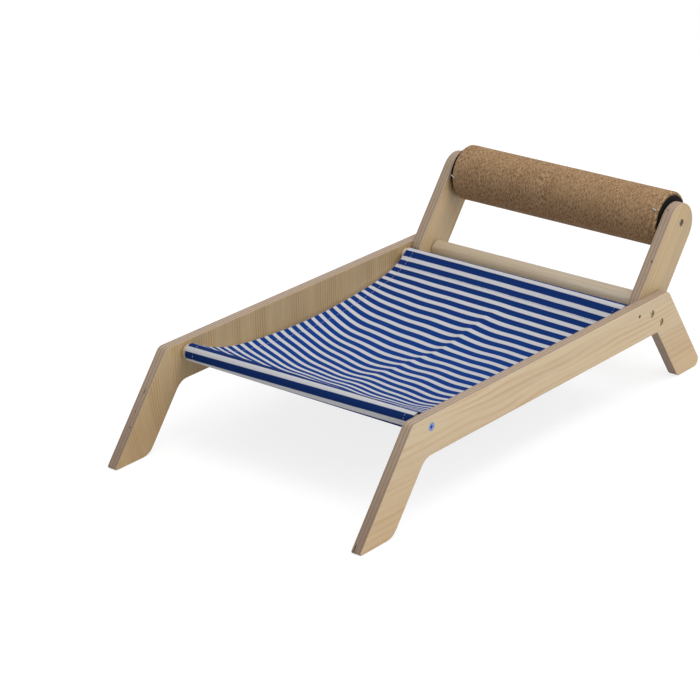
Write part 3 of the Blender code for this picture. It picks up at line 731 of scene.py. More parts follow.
@dataclass(frozen=True)
class SisalFinish(Finish):
    """Wound sisal twine: pale strands with painted shade in the grooves between them."""

    pale: Colour
    warm: Colour
    # Colour of the darker fibres, and of the painted shade in the grooves and slots.
    deep: Colour
    axis: Spot
    _: KW_ONLY
    uneven: float = 0.08
    relief: float = 0.00016
    specular: float = 0.2
    tones: Pair = (0.3, 0.7)
    fibre_dark: Ramp = (0.3, 0.75, 0.0, 0.25)
    broad_warm: Ramp = (0.35, 0.7, 0.0, 0.25)
    # Painted shade in the grooves between strands and between turns, and in the slots between fibres.
    strand_groove_shade: float = 0.12
    turn_groove_shade: float = 0.10
    slot_shade: float = 0.66
    groove_depth: float = 1.5

    def look(self, graph: Graph) -> tuple[Socket, Socket, Socket]:
        """Paint shade into the grooves between turns and strands, and into the slots between fibres.

        Args:
            graph: The material's graph.

        Returns:
            The colour, the unevenness of the roughness, and the height.
        """
        centred = graph.vector("SUBTRACT", graph.place(), self.axis)
        twine = graph.effect(wound_twine(), {"Place": centred})
        mottle = graph.effect(soft_mottle(), {"Place": centred})
        tone = graph.blend(graph.ramp(twine["Tone"], *self.tones), self.pale, self.warm)
        strands = graph.blend(graph.ramp(twine["Fibres"], *self.fibre_dark), tone, self.deep)
        # Painted shade in the grooves and slots.
        groove = graph.math("MAXIMUM", graph.math("MULTIPLY", twine["Strand Groove"], self.strand_groove_shade),
                            graph.math("MULTIPLY", twine["Turn Groove"], self.turn_groove_shade))
        slots = graph.math("MULTIPLY", twine["Slots"], self.slot_shade)
        shaded = graph.blend(graph.math("MAXIMUM", groove, slots), strands, self.deep)
        broad = graph.ramp(mottle["Broad"], *self.broad_warm)
        height = graph.math("MULTIPLY_ADD", groove, -self.groove_depth, twine["Fibres"])
        return graph.blend(broad, shaded, self.warm), groove, height


@dataclass(frozen=True)
class PlainFinish(Finish):
    """A moulded, pressed or plated finish with a grain of its own and a little dust."""

    base: Colour
    dusty: Colour
    _: KW_ONLY
    uneven: float = 0.2
    relief: float = 0.00003
    dust: Ramp = (0.4, 0.75, 0.0, 0.4)
    specks: float = 0.3

    def look(self, graph: Graph) -> tuple[Socket, Socket, Socket]:
        """Let some dust lie on the surface.

        Args:
            graph: The material's graph.

        Returns:
            The colour, the unevenness of the roughness, and the height.
        """
        mottle = graph.effect(soft_mottle(), {"Place": graph.place()})
        broad = graph.ramp(mottle["Broad"], *self.dust)
        dust = graph.math("MULTIPLY_ADD", mottle["Specks"], self.specks, broad)
        return graph.blend(dust, self.base, self.dusty), mottle["Broad"], mottle["Specks"]


FinishList = list[tuple[Finish, tuple[str, ...]]]

RAIL_FACE = Veneer(srgb(199, 179, 147), srgb(191, 171, 141), srgb(180, 146, 102), 0.0064, 4.2, 0.60,
                   GrainRun.LENGTHWISE)
UPRIGHT_FACE = Veneer(srgb(190, 165, 124), srgb(181, 158, 121), srgb(158, 121, 74), 0.0036, 1.0, 0.78,
                      GrainRun.UPRIGHT)
POST_FACE = Veneer(srgb(190, 165, 123), srgb(177, 155, 124), srgb(160, 128, 84), 0.0062, 1.1, 0.5,
                   GrainRun.RAKED)
# Paler than the outer post veneer: painted light that lifts the inner faces of the posts out of their shade.
POST_INNER_FACE = Veneer(srgb(203, 177, 135), srgb(190, 167, 134), srgb(170, 138, 94), 0.0062, 1.1, 0.5,
                         GrainRun.RAKED)
DOWEL_WOOD = DowelFinish("dowel wood", 0.5, srgb(197, 185, 165), srgb(185, 168, 142), srgb(172, 142, 108))
BLACK_PLASTIC = PlainFinish("black moulded plastic", 0.75, srgb(7, 7, 8), srgb(18, 17, 18), specular=0.12)
TUBE_BOARD = PlainFinish("wound tube board", 0.85, srgb(150, 126, 96), srgb(120, 98, 70), relief=0.0001)
BLUE_ZINC = PlainFinish("blue zinc plate", 0.3, srgb(120, 152, 208), srgb(92, 112, 160), metallic=1.0)
YELLOW_ZINC = PlainFinish("yellow zinc plate", 0.34, srgb(232, 224, 186), srgb(186, 174, 128), metallic=1.0)
# Each thread's first colour is its painted highlight, and its second its painted shade.
HEM_THREAD = ThreadFinish("pale thread", 0.7, srgb(196, 186, 200), srgb(150, 138, 164))
SEAM_THREAD = ThreadFinish("dull thread", 0.9, srgb(66, 80, 136), srgb(44, 56, 112))
BRIGHT_STEEL = PlainFinish("bright steel", 0.3, srgb(200, 202, 208), srgb(150, 148, 146), metallic=1.0)


@dataclass
class Studio:
    """Camera, lamps, floor and white surroundings."""

    place: Spot = (1.4824123, -2.0011943, 1.0753729)
    turn: float = 0.6646344440106755
    height_angle: float = 0.3839252597002468
    roll: float = 0.001704179035913189
    lens: float = 137.6227
    sensor: float = 36.0
    ambient: float = 0.62
    floor_size: float = 4.0
    floor_fade: Pair = (0.9, 1.6)
    floor_drop: float = 0.0003
    floor_lit: Colour = (0.80, 0.80, 0.80)
    floor_seen: Colour = (0.26, 0.26, 0.26)
    floor_glow: float = 0.79
    floor_roughness: float = 0.9
    far: float = 40.0
    aim: Spot = (0.0, 0.0, 0.08)
    lamps: tuple = (("key lamp", (0.7, 0.3, 2.9), 2.0, 46.0), ("side lamp", (2.8, 0.5, 1.4), 1.6, 20.0))

    def camera(self) -> None:
        """Place the camera at the photograph's viewing angle."""
        data = bpy.data.cameras.new("camera")
        data.lens = self.lens
        data.sensor_width = self.sensor
        data.clip_end = self.far
        made = bpy.data.objects.new("camera", data)
        bpy.context.scene.collection.objects.link(made)
        level = math.pi / 2 - self.height_angle
        made.matrix_world = (Matrix.Translation(self.place) @ Matrix.Rotation(self.turn, 4, "Z")
                             @ Matrix.Rotation(level, 4, "X") @ Matrix.Rotation(self.roll, 4, "Z"))
        bpy.context.scene.camera = made

    def lights(self) -> None:
        """Hang the soft lamps."""
        for name, spot, size, power in self.lamps:
            data = bpy.data.lights.new(name, "AREA")
            data.energy = power
            data.size = size
            made = bpy.data.objects.new(name, data)
            bpy.context.scene.collection.objects.link(made)
            made.location = spot
            made.rotation_euler = (Vector(self.aim) - Vector(spot)).to_track_quat("-Z", "Y").to_euler()

    def surroundings(self) -> None:
        """Fill the room with even light, and show it white."""
        world = bpy.data.worlds.new("white room")
        world.use_nodes = True
        bpy.context.scene.world = world
        graph = Graph(world.node_tree)
        strength = graph.math("MULTIPLY_ADD", graph.seen(), 1 - self.ambient, self.ambient)
        graph.fill(world.node_tree.nodes["Background"], {"Color": (1, 1, 1), "Strength": strength})

    def floor(self) -> None:
        """Lay a pale floor that keeps the shadow and fades into the white room."""
        half = self.floor_size / 2
        corners = [(-half, -half), (half, -half), (half, half), (-half, half)]
        points = np.array([(x, y, -self.floor_drop) for x, y in corners])
        material = bpy.data.materials.new("pale floor")
        material.use_nodes = True
        graph, shader = Graph(material.node_tree), material.node_tree.nodes["Principled BSDF"]
        seen = graph.seen()
        graph.fill(shader, {
            "Base Color": graph.blend(seen, self.floor_lit, self.floor_seen),
            "Roughness": self.floor_roughness, "Specular IOR Level": 0.0, "Emission Color": (1, 1, 1),
            "Emission Strength": graph.math("MULTIPLY", seen, self.floor_glow)})
        away = graph.ramp(graph.vector("LENGTH", graph.place()), *self.floor_fade)
        clear = graph.node("ShaderNodeBsdfTransparent").outputs[0]
        mixed = graph.node("ShaderNodeMixShader", {0: away, 1: shader.outputs[0], 2: clear}).outputs[0]
        graph.feed(material.node_tree.nodes["Material Output"].inputs["Surface"], mixed)
        mesh_piece("pale_floor", points, [[0, 1, 2, 3]], material)

    def build(self) -> None:
        """Set up the whole studio."""
        bpy.context.scene.view_settings.view_transform = "Standard"
        self.camera()
        self.lights()
        self.surroundings()
        self.floor()


class SubAssembly:
    """A part of the bed: CAD solids that keep their shape and get a finish, and any pieces it adds."""

    def finishes(self) -> FinishList:
        """Each finish, with the names of the CAD solids that it dresses."""
        return []

    def added(self) -> list[Piece]:
        """Pieces that the sub-assembly makes itself."""
        return []

    def build(self) -> list[Piece]:
        """Make the added pieces and dress the CAD solids.

        Returns:
            All of them.
        """
        pieces = self.added()
        for finish, names in self.finishes():
            material = finish.build()
            for piece in (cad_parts[name] for name in names):
                for place in piece.material_slots:
                    place.material = material
                pieces.append(piece)
        return pieces


def both(*stems: str) -> tuple[str, ...]:
    """Names of the left and the right piece of each stem."""
    return tuple(f"{stem}_{side}" for stem in stems for side in SIDES)


@dataclass
class WoodFrame(SubAssembly):
    """The side panels, posts and dowels, with the gaps that show in the plies of the cut edges."""

    panel_voids: tuple[Void, ...] = (
        Void((-0.1485, -0.2425, 0.0660), -52.5, 0.0052, 0.0011),
        Void((-0.1480, -0.2655, 0.0360), -20.0, 0.0020, 0.0013),
        Void((-0.1490, -0.2556, 0.0490), -52.5, 0.0016, 0.0010),
        Void((0.1470, -0.2893, 0.0050), -52.5, 0.0080, 0.0012),
        Void((0.1445, 0.0978, 0.1030), 0.0, 0.0022, 0.0012),
        Void((0.1462, 0.1348, 0.1030), 0.0, 0.0016, 0.0009),
    )
    post_voids: tuple[Void, ...] = (
        Void((0.1412, 0.2092, 0.1361), -52.6, 0.0034, 0.0015),
        Void((0.1362, 0.2444, 0.1822), -52.6, 0.0042, 0.0010),
    )
    roughness: float = 0.55

    def plywood(self, title: str, sheet: str, outer: Veneer, inner: Veneer, voids: tuple) -> PlywoodFinish:
        """Finish of a sheet of plywood, whose thickness and inner face are read from its solid."""
        low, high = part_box(sheet)
        return PlywoodFinish(title, self.roughness, outer, inner, low.x, high.x - low.x, voids)

    def finishes(self) -> FinishList:
        """Choose the finishes of the wood.

        Returns:
            Each finish, with the names of the CAD solids that it dresses.
        """
        panels = self.plywood("panel plywood", "side_panel_right", RAIL_FACE, UPRIGHT_FACE, self.panel_voids)
        posts = self.plywood("post plywood", "post_right", POST_FACE, POST_INNER_FACE, self.post_voids)
        return [(panels, both("side_panel")), (posts, both("post")),
                (DOWEL_WOOD, ("front_dowel", "rear_dowel", "head_dowel"))]


class Fasteners(SubAssembly):
    """The screws, pins and staples."""

    def finishes(self) -> FinishList:
        """Choose the finishes of the metal.

        Returns:
            Each finish, with the names of the CAD solids that it dresses.
        """
        return [(BLUE_ZINC, both("front_screw")),
                (YELLOW_ZINC, both("post_screw_front", "post_screw_rear")),
                (BRIGHT_STEEL, both("head_dowel_screw", "rear_pin", "roller_screw", "wrap_staple"))]


@dataclass
class Stitch:
    """One short stitch that lies on the cloth."""

    length: float = 0.0025
    radius: float = 0.00018
    rise: float = 0.00012
    sides: int = 6
    rings: tuple[float, ...] = (-0.92, -0.5, 0.0, 0.5, 0.92)

    def points(self, middle: Vector, run: Vector, out: Vector) -> list[Vector]:
        """Points of the stitch: each ring in turn, then the two tips.

        Args:
            middle: Where the stitch lies.
            run: Direction along it.
            out: Direction away from the cloth.

        Returns:
            The points.
        """
        side = run.cross(out).normalized()
        spots = []
        for share in self.rings:
            thick = self.radius * math.sqrt(1 - share ** 4)
            centre = middle + run * (share * self.length / 2) + out * (self.rise * (1 - share ** 2))
            for step in range(self.sides):
                angle = math.tau * step / self.sides
                spots.append(centre + (side * math.cos(angle) + out * math.sin(angle)) * thick)
        return spots + [middle - run * self.length / 2, middle + run * self.length / 2]

    def faces(self, start: int) -> list:
        """Join the points of one stitch.

        Args:
            start: Number of its first vertex.

        Returns:
            Its faces.
        """
        count = len(self.rings)
        faces = grid_faces(count, self.sides, start, wrap=True)
        tips = (start + count * self.sides, start + count * self.sides + 1)
        last = start + (count - 1) * self.sides
        for step in range(self.sides):
            beside = (step + 1) % self.sides
            faces.append([start + beside, start + step, tips[0]])
            faces.append([last + step, last + beside, tips[1]])
        return faces


@dataclass
class Sling(SubAssembly):
    """The striped cloth that laps round both cloth dowels and hangs between them."""

    # The sheet, its hems and its cut edges.
    thickness: float = 0.0009
    hem_thickness: float = 0.00122
    hem_width: float = 0.0096
    end_space: float = 0.006
    cad_thickness: float = 0.001
    edge_round: float = 0.0006
    edge_share: float = 0.25
    edge_inset: float = 0.0012
    edge_rows: tuple = (0.0, 0.0002, 0.0006)
    # The sleeves round the dowels.
    loop_radius: float = 0.00845
    loop_drop: float = 0.0003
    lap_gap: float = 0.0004
    seam_reach: float = 0.020
    lap_length: float = 1.03
    front_lift: float = 0.0008
    # The hanging line. A pair has a value in the middle and one at the hems.
    cross_power: float = 3.1140
    sag: Pair = (0.05232, 0.03550)
    lowest_share: Pair = (0.4556, 0.5764)
    front_power: Pair = (2.0772, 3.6609)
    front_ease: Pair = (1.0015, 1.1176)
    rear_power: Pair = (1.7188, 1.9670)
    rear_hook: Pair = (0.1565, 0.2694)
    rear_hook_power: float = 9.0781
    leave_share: float = 0.02
    slope_step: float = 0.01
    # What tilts, lifts, ripples and creases it.
    side_tilt: float = 0.004708
    side_tilt_growth: float = 5.6524
    side_skew: float = -0.003228
    left_lift: float = 0.01384
    left_lift_power: float = 3.2288
    hem_pull: float = 0.00472
    ripples: tuple = ((0.00089, 0.1007, -1.5997, 0.0778), (0.00047, 0.0479, 1.2016, -0.1784),
                      (-0.00133, 0.2948, -1.7201, -0.3721))
    crease: tuple = ((0.36, -0.026, 0.0), (0.45, -0.021, 0.0017), (0.55, -0.016, 0.0030),
                     (0.66, -0.002, 0.0043), (0.76, 0.0017, 0.0043), (0.85, 0.0052, 0.0026),
                     (0.93, 0.013, 0.0))
    crease_sides: Pair = (0.008, 0.016)
    crease_round: float = 0.0012
    # The stripes on the flat cloth. Periods and duties are shares.
    uv_name: str = "cloth"
    span_measure: float = 0.364
    first_stripe: float = 1.0
    stripe_period: float = 0.03485
    stripe_duty: float = 0.503
    stripe_spread: float = 0.075
    stripe_on_dowel: int = 29
    stripe_past_top: float = -0.0053
    stripe_twist: float = 0.02
    settle_reach: float = 0.060
    rear_shift: float = -0.0008
    rear_settle: float = 0.006
    rear_twist: Pair = (0.0105, 0.06)
    rear_reach: float = 0.075
    # The stitches, and how they draw in the cloth.
    stitch: Stitch = field(default_factory=Stitch)
    stitch_pitch: float = 0.0036
    stitch_space: float = 0.004
    stitch_step: float = 0.0008
    stitch_skew: float = 0.08
    pucker: float = 0.00016
    pucker_pitch: float = 0.0074
    pucker_reach: float = 0.0022
    hem_step: float = 0.0004
    hem_dent: float = 0.00016
    hem_dent_reach: float = 0.0007
    seam_dent: float = 0.00018
    seam_dent_reach: float = 0.0016
    seam_waver: float = 0.00012
    seam_pitch: float = 0.0093
    # Steps of the mesh.
    sleeve_steps: int = 26
    span_steps: int = 120
    lap_steps: int = 5
    columns: int = 140
    length_tries: int = 15

    def __post_init__(self) -> None:
        """Read the places of the dowels and the panels from the frame."""
        self.front = axis_of("front_dowel").yz + Vector((0, self.front_lift - self.loop_drop))
        self.rear = axis_of("rear_dowel").yz - Vector((0, self.loop_drop))
        self.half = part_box("side_panel_right")[0].x - self.end_space
        self.reach = self.rear.x - self.front.x

    def rumple(self, x: float, share: float) -> float:
        """Height that the side tilt, the taut left hem, the long ripples and the crease add.

        Args:
            x: Place across the bed.
            share: Share of the way to the rear.

        Returns:
            The height.
        """
        side = x / self.half
        tilt = -self.side_tilt * side * (1 + self.side_tilt_growth * (share - 0.5))
        lift = self.left_lift * max(0.0, -side) ** self.left_lift_power
        lift *= (1 - share) * math.sin(math.pi * share)
        waves = sum(height * math.sin(math.tau * (x / pitch + skew * (share - 0.5) + phase))
                    for height, pitch, skew, phase in self.ripples)
        shares, places, heights = zip(*self.crease)
        off = x - float(np.interp(share, shares, places))
        ridge = float(np.interp(share, shares, heights))
        ridge *= math.exp(-math.hypot(off, self.crease_round) / self.crease_sides[int(off > 0)])
        skew = self.side_skew * side * math.sin(math.tau * share)
        return (tilt + lift + waves + skew) * math.sin(math.pi * share) + ridge

    def pulled(self, x: float, measure: np.ndarray) -> np.ndarray:
        """Places across the bed, drawn in towards the middle of the span near the hems."""
        share = np.clip(measure / self.span_measure, 0, 1)
        return x - self.hem_pull * (x / self.half) ** 3 * np.sin(math.pi * share)

    def stripe_edge(self, number: int) -> float:
        """Place on the flat cloth of a stripe's rear edge, counted from the rear."""
        return (self.first_stripe - number * self.stripe_period) * self.span_measure

    def eased(self, away: np.ndarray) -> np.ndarray:
        """Fall smoothly from 1, where away is 0 or less, to 0 where it is 1."""
        near = np.clip(1 - away, 0, 1)
        return near ** 2 * (3 - 2 * near)

    def section(self, x: float) -> tuple[np.ndarray, np.ndarray]:
        """Middle line of the cloth at one X: lap, sleeve, span, sleeve and lap.

        Args:
            x: Place across the bed.

        Returns:
            The (y, z) points, and for each point its place on the flat cloth, which is 0 where the
            cloth leaves the front dowel and span_measure where it meets the rear one.
        """
        towards_hem = min(1.0, abs(x / self.half)) ** self.cross_power
        sag, low, front_power, front_ease, rear_power, hook = (
            middle + (hem - middle) * towards_hem
            for middle, hem in (self.sag, self.lowest_share, self.front_power, self.front_ease,
                                self.rear_power, self.rear_hook))

        def left_of(share: float) -> float:
            """Share of the sag that is left on the front part of the span."""
            return (1 - (share / low) ** front_ease) ** front_power

        front_leave = math.atan(sag * (1 - left_of(self.leave_share)) / (self.leave_share * self.reach))
        steepest = (1 - hook) * rear_power + hook * self.rear_hook_power
        rear_leave = math.atan(sag * steepest / ((1 - low) * self.reach))
        start = self.front + self.loop_radius * Vector((math.sin(front_leave), math.cos(front_leave)))
        end = self.rear + self.loop_radius * Vector((-math.sin(rear_leave), math.cos(rear_leave)))

        def span_at(share: float) -> Vector:
            """Find a point of the hanging span.

            Args:
                share: Share of the way to the rear.

            Returns:
                The (y, z) point.
            """
            rise = left_of(share) if share < low else 0.0
            if share > low:
                part = (share - low) / (1 - low)
                rise = (1 - hook) * part ** rear_power + hook * part ** self.rear_hook_power
            return start.lerp(end, share) + Vector((0, self.rumple(x, share) - sag * (1 - rise)))

        def sleeve(centre: Vector, inward: int, leave: float, seam_share: float) -> list[Vector]:
            """Find the lap and the loop of one sleeve.

            Args:
                centre: The dowel's middle.
                inward: 1 where the span lies on the +Y side of the dowel, and -1 for the other side.
                leave: Slope at which the span leaves the loop.
                seam_share: Share of the way to the rear at which the lap ends.

            Returns:
                The (y, z) points, from the lap's end to where the span begins.
            """
            run = span_at(seam_share + self.slope_step) - span_at(seam_share - self.slope_step)
            below = Vector((run.y, -run.x)).normalized()
            lap_end = span_at(seam_share) + below * (self.cad_thickness + self.lap_gap)
            away = lap_end - centre
            touch = math.atan2(away.y, away.x * inward) - math.acos(self.loop_radius / away.length)
            leaves_at = math.pi / 2 - leave - math.tau
            loop = []
            for index in range(self.sleeve_steps + 1):
                angle = touch + (leaves_at - touch) * index / self.sleeve_steps
                loop.append(centre + self.loop_radius * Vector((inward * math.cos(angle), math.sin(angle))))
            return [lap_end.lerp(loop[0], index / self.lap_steps) for index in range(self.lap_steps)] + loop

        seam_share = self.seam_reach / self.reach
        front_part = sleeve(self.front, 1, front_leave, seam_share)
        rear_part = sleeve(self.rear, -1, rear_leave, 1 - seam_share)[::-1]
        middle = [span_at(index / self.span_steps) for index in range(1, self.span_steps)]
        line = np.array([tuple(point) for point in front_part + middle + rear_part])
        ends = (len(front_part) - 1, len(front_part) + len(middle))
        return line, self.flat_places(x, line, ends, front_leave)

    def flat_places(self, x: float, line: np.ndarray, ends: tuple[int, int],
                    front_leave: float) -> np.ndarray:
        """Find where each point of the middle line lies on the flat cloth.

        Args:
            x: Place across the bed.
            line: The (y, z) points.
            ends: Numbers of the points where the cloth leaves the front dowel and meets the rear one.
            front_leave: Slope at which it leaves the front dowel.

        Returns:
            The places.
        """
        along = np.concatenate([[0], np.cumsum(np.linalg.norm(np.diff(line, axis=0), axis=1))])
        leaves, meets = along[list(ends)]
        stretch = self.span_measure / (meets - leaves)
        measure = np.where(along < leaves, along - leaves,
                           np.where(along > meets, along - meets + self.span_measure,
                                    (along - leaves) * stretch))
        on_top = self.stripe_edge(self.stripe_on_dowel) + self.stripe_past_top - self.stripe_twist * x
        to_rear = self.span_measure - measure
        shift = (on_top + self.loop_radius * front_leave) * self.eased(measure / self.settle_reach)
        shift += self.rear_shift * np.clip(1 - to_rear / self.rear_settle, 0, 1)
        turn, still = self.rear_twist
        return measure + shift + turn * (x + still) * self.eased(to_rear / self.rear_reach)

    def skins(self, x: float) -> tuple[np.ndarray, np.ndarray, np.ndarray]:
        """Upper and lower skin of the cloth at one X.

        Args:
            x: Place across the bed.

        Returns:
            The (y, z) points of the upper and of the lower skin, and their places on the flat cloth.
        """
        line, measure = self.section(x)
        run = np.gradient(line, axis=0)
        out = np.stack([-run[:, 1], run[:, 0]], axis=1)
        out /= np.linalg.norm(out, axis=1, keepdims=True)
        inset = self.half - abs(x)
        off_hem = inset - self.hem_width
        hemmed = 1 / (1 + math.exp(off_hem / self.hem_step))
        rounded = math.sqrt(max(0.0, 1 - max(0.0, 1 - inset / self.edge_round) ** 2))
        thick = self.thickness + (self.hem_thickness - self.thickness) * hemmed
        thick *= max(self.edge_share, rounded)
        near_hem = math.exp(-(off_hem / self.pucker_reach) ** 2)
        lift = self.pucker * near_hem * np.sin(math.tau * measure / self.pucker_pitch)
        lift = lift - self.hem_dent * math.exp(-(off_hem / self.hem_dent_reach) ** 2)
        for seam in self.seams():
            dent = self.seam_dent + self.seam_waver * math.sin(math.tau * x / self.seam_pitch)
            lift = lift - np.exp(-((measure - seam) / self.seam_dent_reach) ** 2) * dent
        middle = line + out * lift[:, None]
        top = self.thickness / 2
        return middle + out * top, middle + out * (top - thick), measure

    def seams(self) -> tuple[float, float]:
        """Places of the two cross seams on the flat cloth."""
        spread = self.seam_reach * self.lap_length
        return spread, self.span_measure - spread

    def flat_size(self) -> tuple[float, float]:
        """Width and length of the cloth before it is sewn, without its turned side hems."""
        lengths = [self.true_length(x) for x in np.linspace(-self.half, self.half, self.length_tries)]
        return 2 * self.half, float(np.mean(lengths))

    def true_length(self, x: float) -> float:
        """Length of the cloth at one X, from lap end to lap end."""
        line, _ = self.section(x)
        return float(np.sum(np.linalg.norm(np.diff(line, axis=0), axis=1)))

    def striped(self) -> ClothFinish:
        """Finish of the cloth, with the stripes where its flat measure has them.

        Returns:
            The finish.
        """
        period = self.stripe_period * self.span_measure
        # The fourth colour is the painted shade on the blue, and the fifth the painted shade in the weave's
        # valleys.
        return ClothFinish("striped cotton cloth", 0.88, srgb(190, 190, 194), srgb(0, 49, 119),
                           srgb(2, 63, 141), srgb(0, 30, 80), srgb(8, 26, 64), self.span_measure,
                           self.uv_name, self.stripe_edge(0) + self.stripe_spread / 2 * period,
                           period, self.stripe_duty + self.stripe_spread)

    def cloth(self) -> Piece:
        """Build the sheet with both its skins, closed all round.

        Returns:
            The cloth.
        """
        inner = np.linspace(-1, 1, self.columns + 1) * (self.half - self.edge_inset)
        edge = self.half - np.array(self.edge_rows)
        xs = np.concatenate([-edge, inner, edge[::-1]])
        upper, lower, flat = [], [], []
        for x in xs:
            top, bottom, measure = self.skins(float(x))
            across = self.pulled(x, measure)
            upper.append(np.column_stack([across, top]))
            lower.append(np.column_stack([across, bottom]))
            flat.append(np.column_stack([np.full(len(top), x), measure]))
        rows, columns = len(xs), len(upper[0])
        points = np.concatenate(upper + lower)
        flats = np.concatenate(flat + flat)
        below = rows * columns
        faces = grid_faces(rows, columns, flip=True) + grid_faces(rows, columns, below)
        grid = np.arange(below).reshape(rows, columns)
        for rim, turned in ((grid[0], True), (grid[-1], False), (grid[:, 0], False), (grid[:, -1], True)):
            for first, second in zip(rim[:-1].tolist(), rim[1:].tolist()):
                quad = [first, second, below + second, below + first]
                faces.append(quad[::-1] if turned else quad)
        made = mesh_piece("striped_sling", points, faces, self.striped().build())
        layer = made.data.uv_layers.new(name=self.uv_name)
        corners = np.empty(len(made.data.loops), dtype=np.int32)
        made.data.loops.foreach_get("vertex_index", corners)
        layer.data.foreach_set("uv", flats[corners].astype(np.float32).ravel())
        return made

    def on_skin(self, x: float, measure: float, upper: bool) -> tuple[Vector, Vector, Vector]:
        """Place on the cloth, and the directions along and away from it.

        Args:
            x: Place across the bed.
            measure: Place along the flat cloth.
            upper: Whether it is on the upper skin.

        Returns:
            The place, the direction towards the rear and the direction away from the cloth.
        """
        top, bottom, flat = self.skins(x)
        skin = top if upper else bottom
        across = float(self.pulled(x, np.array(measure)))
        spots = [Vector((across, np.interp(at, flat, skin[:, 0]), np.interp(at, flat, skin[:, 1])))
                 for at in (measure - self.stitch_step, measure, measure + self.stitch_step)]
        run = (spots[2] - spots[0]).normalized()
        out = Vector((0, -run.z, run.y)) * (1 if upper else -1)
        return spots[1], run, out

    def sewn(self, name: str, finish: ThreadFinish, places: list) -> Piece:
        """Sew a piece of stitching.

        Args:
            name: Name of the piece.
            finish: What its thread looks like.
            places: Where each stitch lies, its direction and the direction away from the cloth.

        Returns:
            The stitches as one piece.
        """
        rng = random.Random(name)
        points, faces = [], []
        for spot, run, out in places:
            askew = rng.uniform(-self.stitch_skew, self.stitch_skew)
            turned = (run + run.cross(out) * askew).normalized()
            faces.extend(self.stitch.faces(len(points)))
            points.extend(self.stitch.points(spot, turned, out))
        return mesh_piece(name, np.array([tuple(point) for point in points]), faces, finish.build())

    def stitches(self) -> list[Piece]:
        """Sew the side hems and the cross seams.

        Returns:
            The stitches of the hems, and those of the seams.
        """
        space = self.stitch_space
        hems, seams = [], []
        for sign in (-1, 1):
            x = sign * (self.half - self.hem_width)
            measure = self.section(x)[1]
            for upper in (True, False):
                hems += [self.on_skin(x, float(at), upper)
                         for at in np.arange(measure[0] + space, measure[-1] - space, self.stitch_pitch)]
        for seam in self.seams():
            for x in np.arange(space - self.half, self.half - space, self.stitch_pitch):
                spot, _, out = self.on_skin(float(x), seam, True)
                seams.append((spot, Vector((1, 0, 0)), out))
        return [self.sewn("hem_stitches", HEM_THREAD, hems), self.sewn("seam_stitches", SEAM_THREAD, seams)]

    def added(self) -> list[Piece]:
        """Returns:
            The cloth and its stitches.
        """
        cloth = self.cloth()
        stitches = self.stitches()
        for piece in (cloth, *stitches):
            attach(piece, "frame")
        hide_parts("fabric_sling")
        width, length = self.flat_size()
        return [cloth, *stitches]


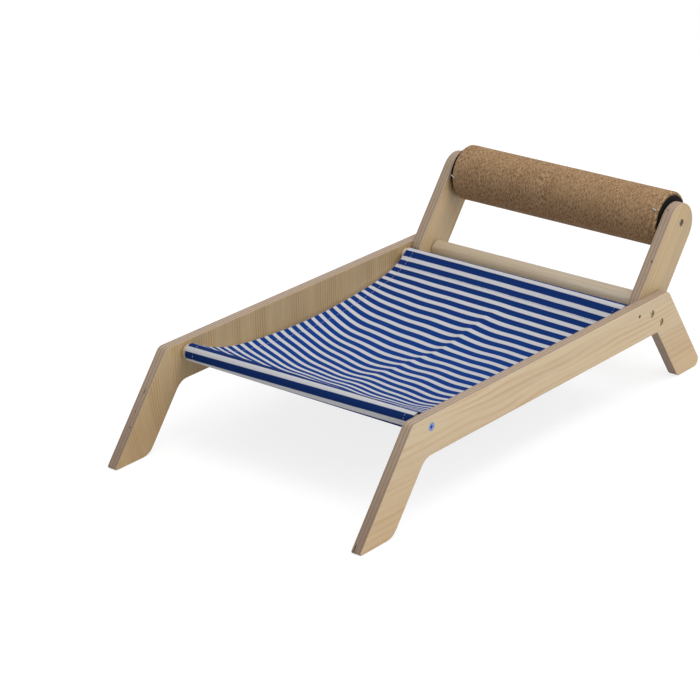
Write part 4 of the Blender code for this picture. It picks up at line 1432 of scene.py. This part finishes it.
@dataclass
class Roller(SubAssembly):
    """The scratch roller: sisal twine wound on a capped tube."""

    turn_depth: float = 0.00026
    strand_depth: float = 0.00030
    end_round: float = 0.0016
    left_short: float = 0.0018
    lining_gap: float = 0.0003
    steps_per_turn: int = 6
    around: int = 208

    def __post_init__(self) -> None:
        """Read the size of the wrap from the frame."""
        low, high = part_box("sisal_wrap")
        self.axis = (low + high) / 2
        self.half = (high.x - low.x) / 2
        self.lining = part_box("roller_tube")[1].z - self.axis.z + self.lining_gap

    def radius_at(self, x: np.ndarray, angle: np.ndarray) -> np.ndarray:
        """Radius of the wound twine.

        Args:
            x: Places along the roller from its middle.
            angle: Angles about its axis, from +Y towards +Z.

        Returns:
            The radius at each place.
        """
        turn = x / LAY.pitch - angle / math.tau
        across = turn - np.floor(turn) - 0.5
        along = LAY.radius * (angle + math.tau * np.floor(turn))
        strand = along / LAY.strand + LAY.slant * across
        off_strand = np.abs(strand - np.floor(strand) - 0.5)
        hollow = self.turn_depth * (2 * np.abs(across)) ** 3 + self.strand_depth * (2 * off_strand) ** 3
        to_end = np.minimum(self.half - x, self.half - self.left_short + x)
        inset = np.clip(1 - to_end / self.end_round, 0, 1)
        return LAY.radius - hollow - self.end_round * (1 - np.sqrt(1 - inset ** 2))

    def cover(self) -> Piece:
        """Build the wound twine as one closed sleeve.

        Returns:
            The cover.
        """
        turns = round(2 * self.half / LAY.pitch)
        xs = np.linspace(self.left_short - self.half, self.half, turns * self.steps_per_turn + 1)
        angles = np.linspace(-math.pi, math.pi, self.around, endpoint=False)
        x, angle = np.meshgrid(xs, angles, indexing="ij")
        radius = self.radius_at(x, angle)
        rings = [np.stack([x, self.axis.y + radius * np.cos(angle), self.axis.z + radius * np.sin(angle)],
                          axis=-1).reshape(-1, 3)]
        for end in (xs[-1], xs[0]):
            rings.append(np.stack([np.full_like(angles, end), self.axis.y + self.lining * np.cos(angles),
                                   self.axis.z + self.lining * np.sin(angles)], axis=-1))
        faces = grid_faces(len(xs) + 2, self.around, wrap=True, flip=True)
        last = (len(xs) + 1) * self.around
        for step in range(self.around):
            beside = (step + 1) % self.around
            faces.append([step, beside, last + beside, last + step])
        # The third colour is that of the darker fibres and of the painted shade in the grooves and slots.
        finish = SisalFinish("wound sisal", 0.9, srgb(179, 148, 113), srgb(166, 134, 98), srgb(80, 50, 29),
                             tuple(self.axis))
        return mesh_piece("sisal_cover", np.concatenate(rings), faces, finish.build())

    def added(self) -> list[Piece]:
        """Make the cover and let it turn with the roller.

        Returns:
            The cover.
        """
        cover = self.cover()
        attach(cover, "roller")
        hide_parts("sisal_wrap")
        return [cover]

    def finishes(self) -> FinishList:
        """Finishes of the tube and its caps."""
        return [(TUBE_BOARD, ("roller_tube",)), (BLACK_PLASTIC, both("roller_cap"))]


def main() -> None:
    """Build the studio and every sub-assembly in order, and report each piece."""
    logging.basicConfig(level=logging.INFO, format="%(name)s: %(message)s")
    Studio().build()
    for part in (WoodFrame(), Fasteners(), Sling(), Roller()):
        for piece in part.build():
            LOG.info("%s: %s, %d faces", type(part).__name__, piece.name, len(piece.data.polygons))


if __name__ == "__main__":
    main()
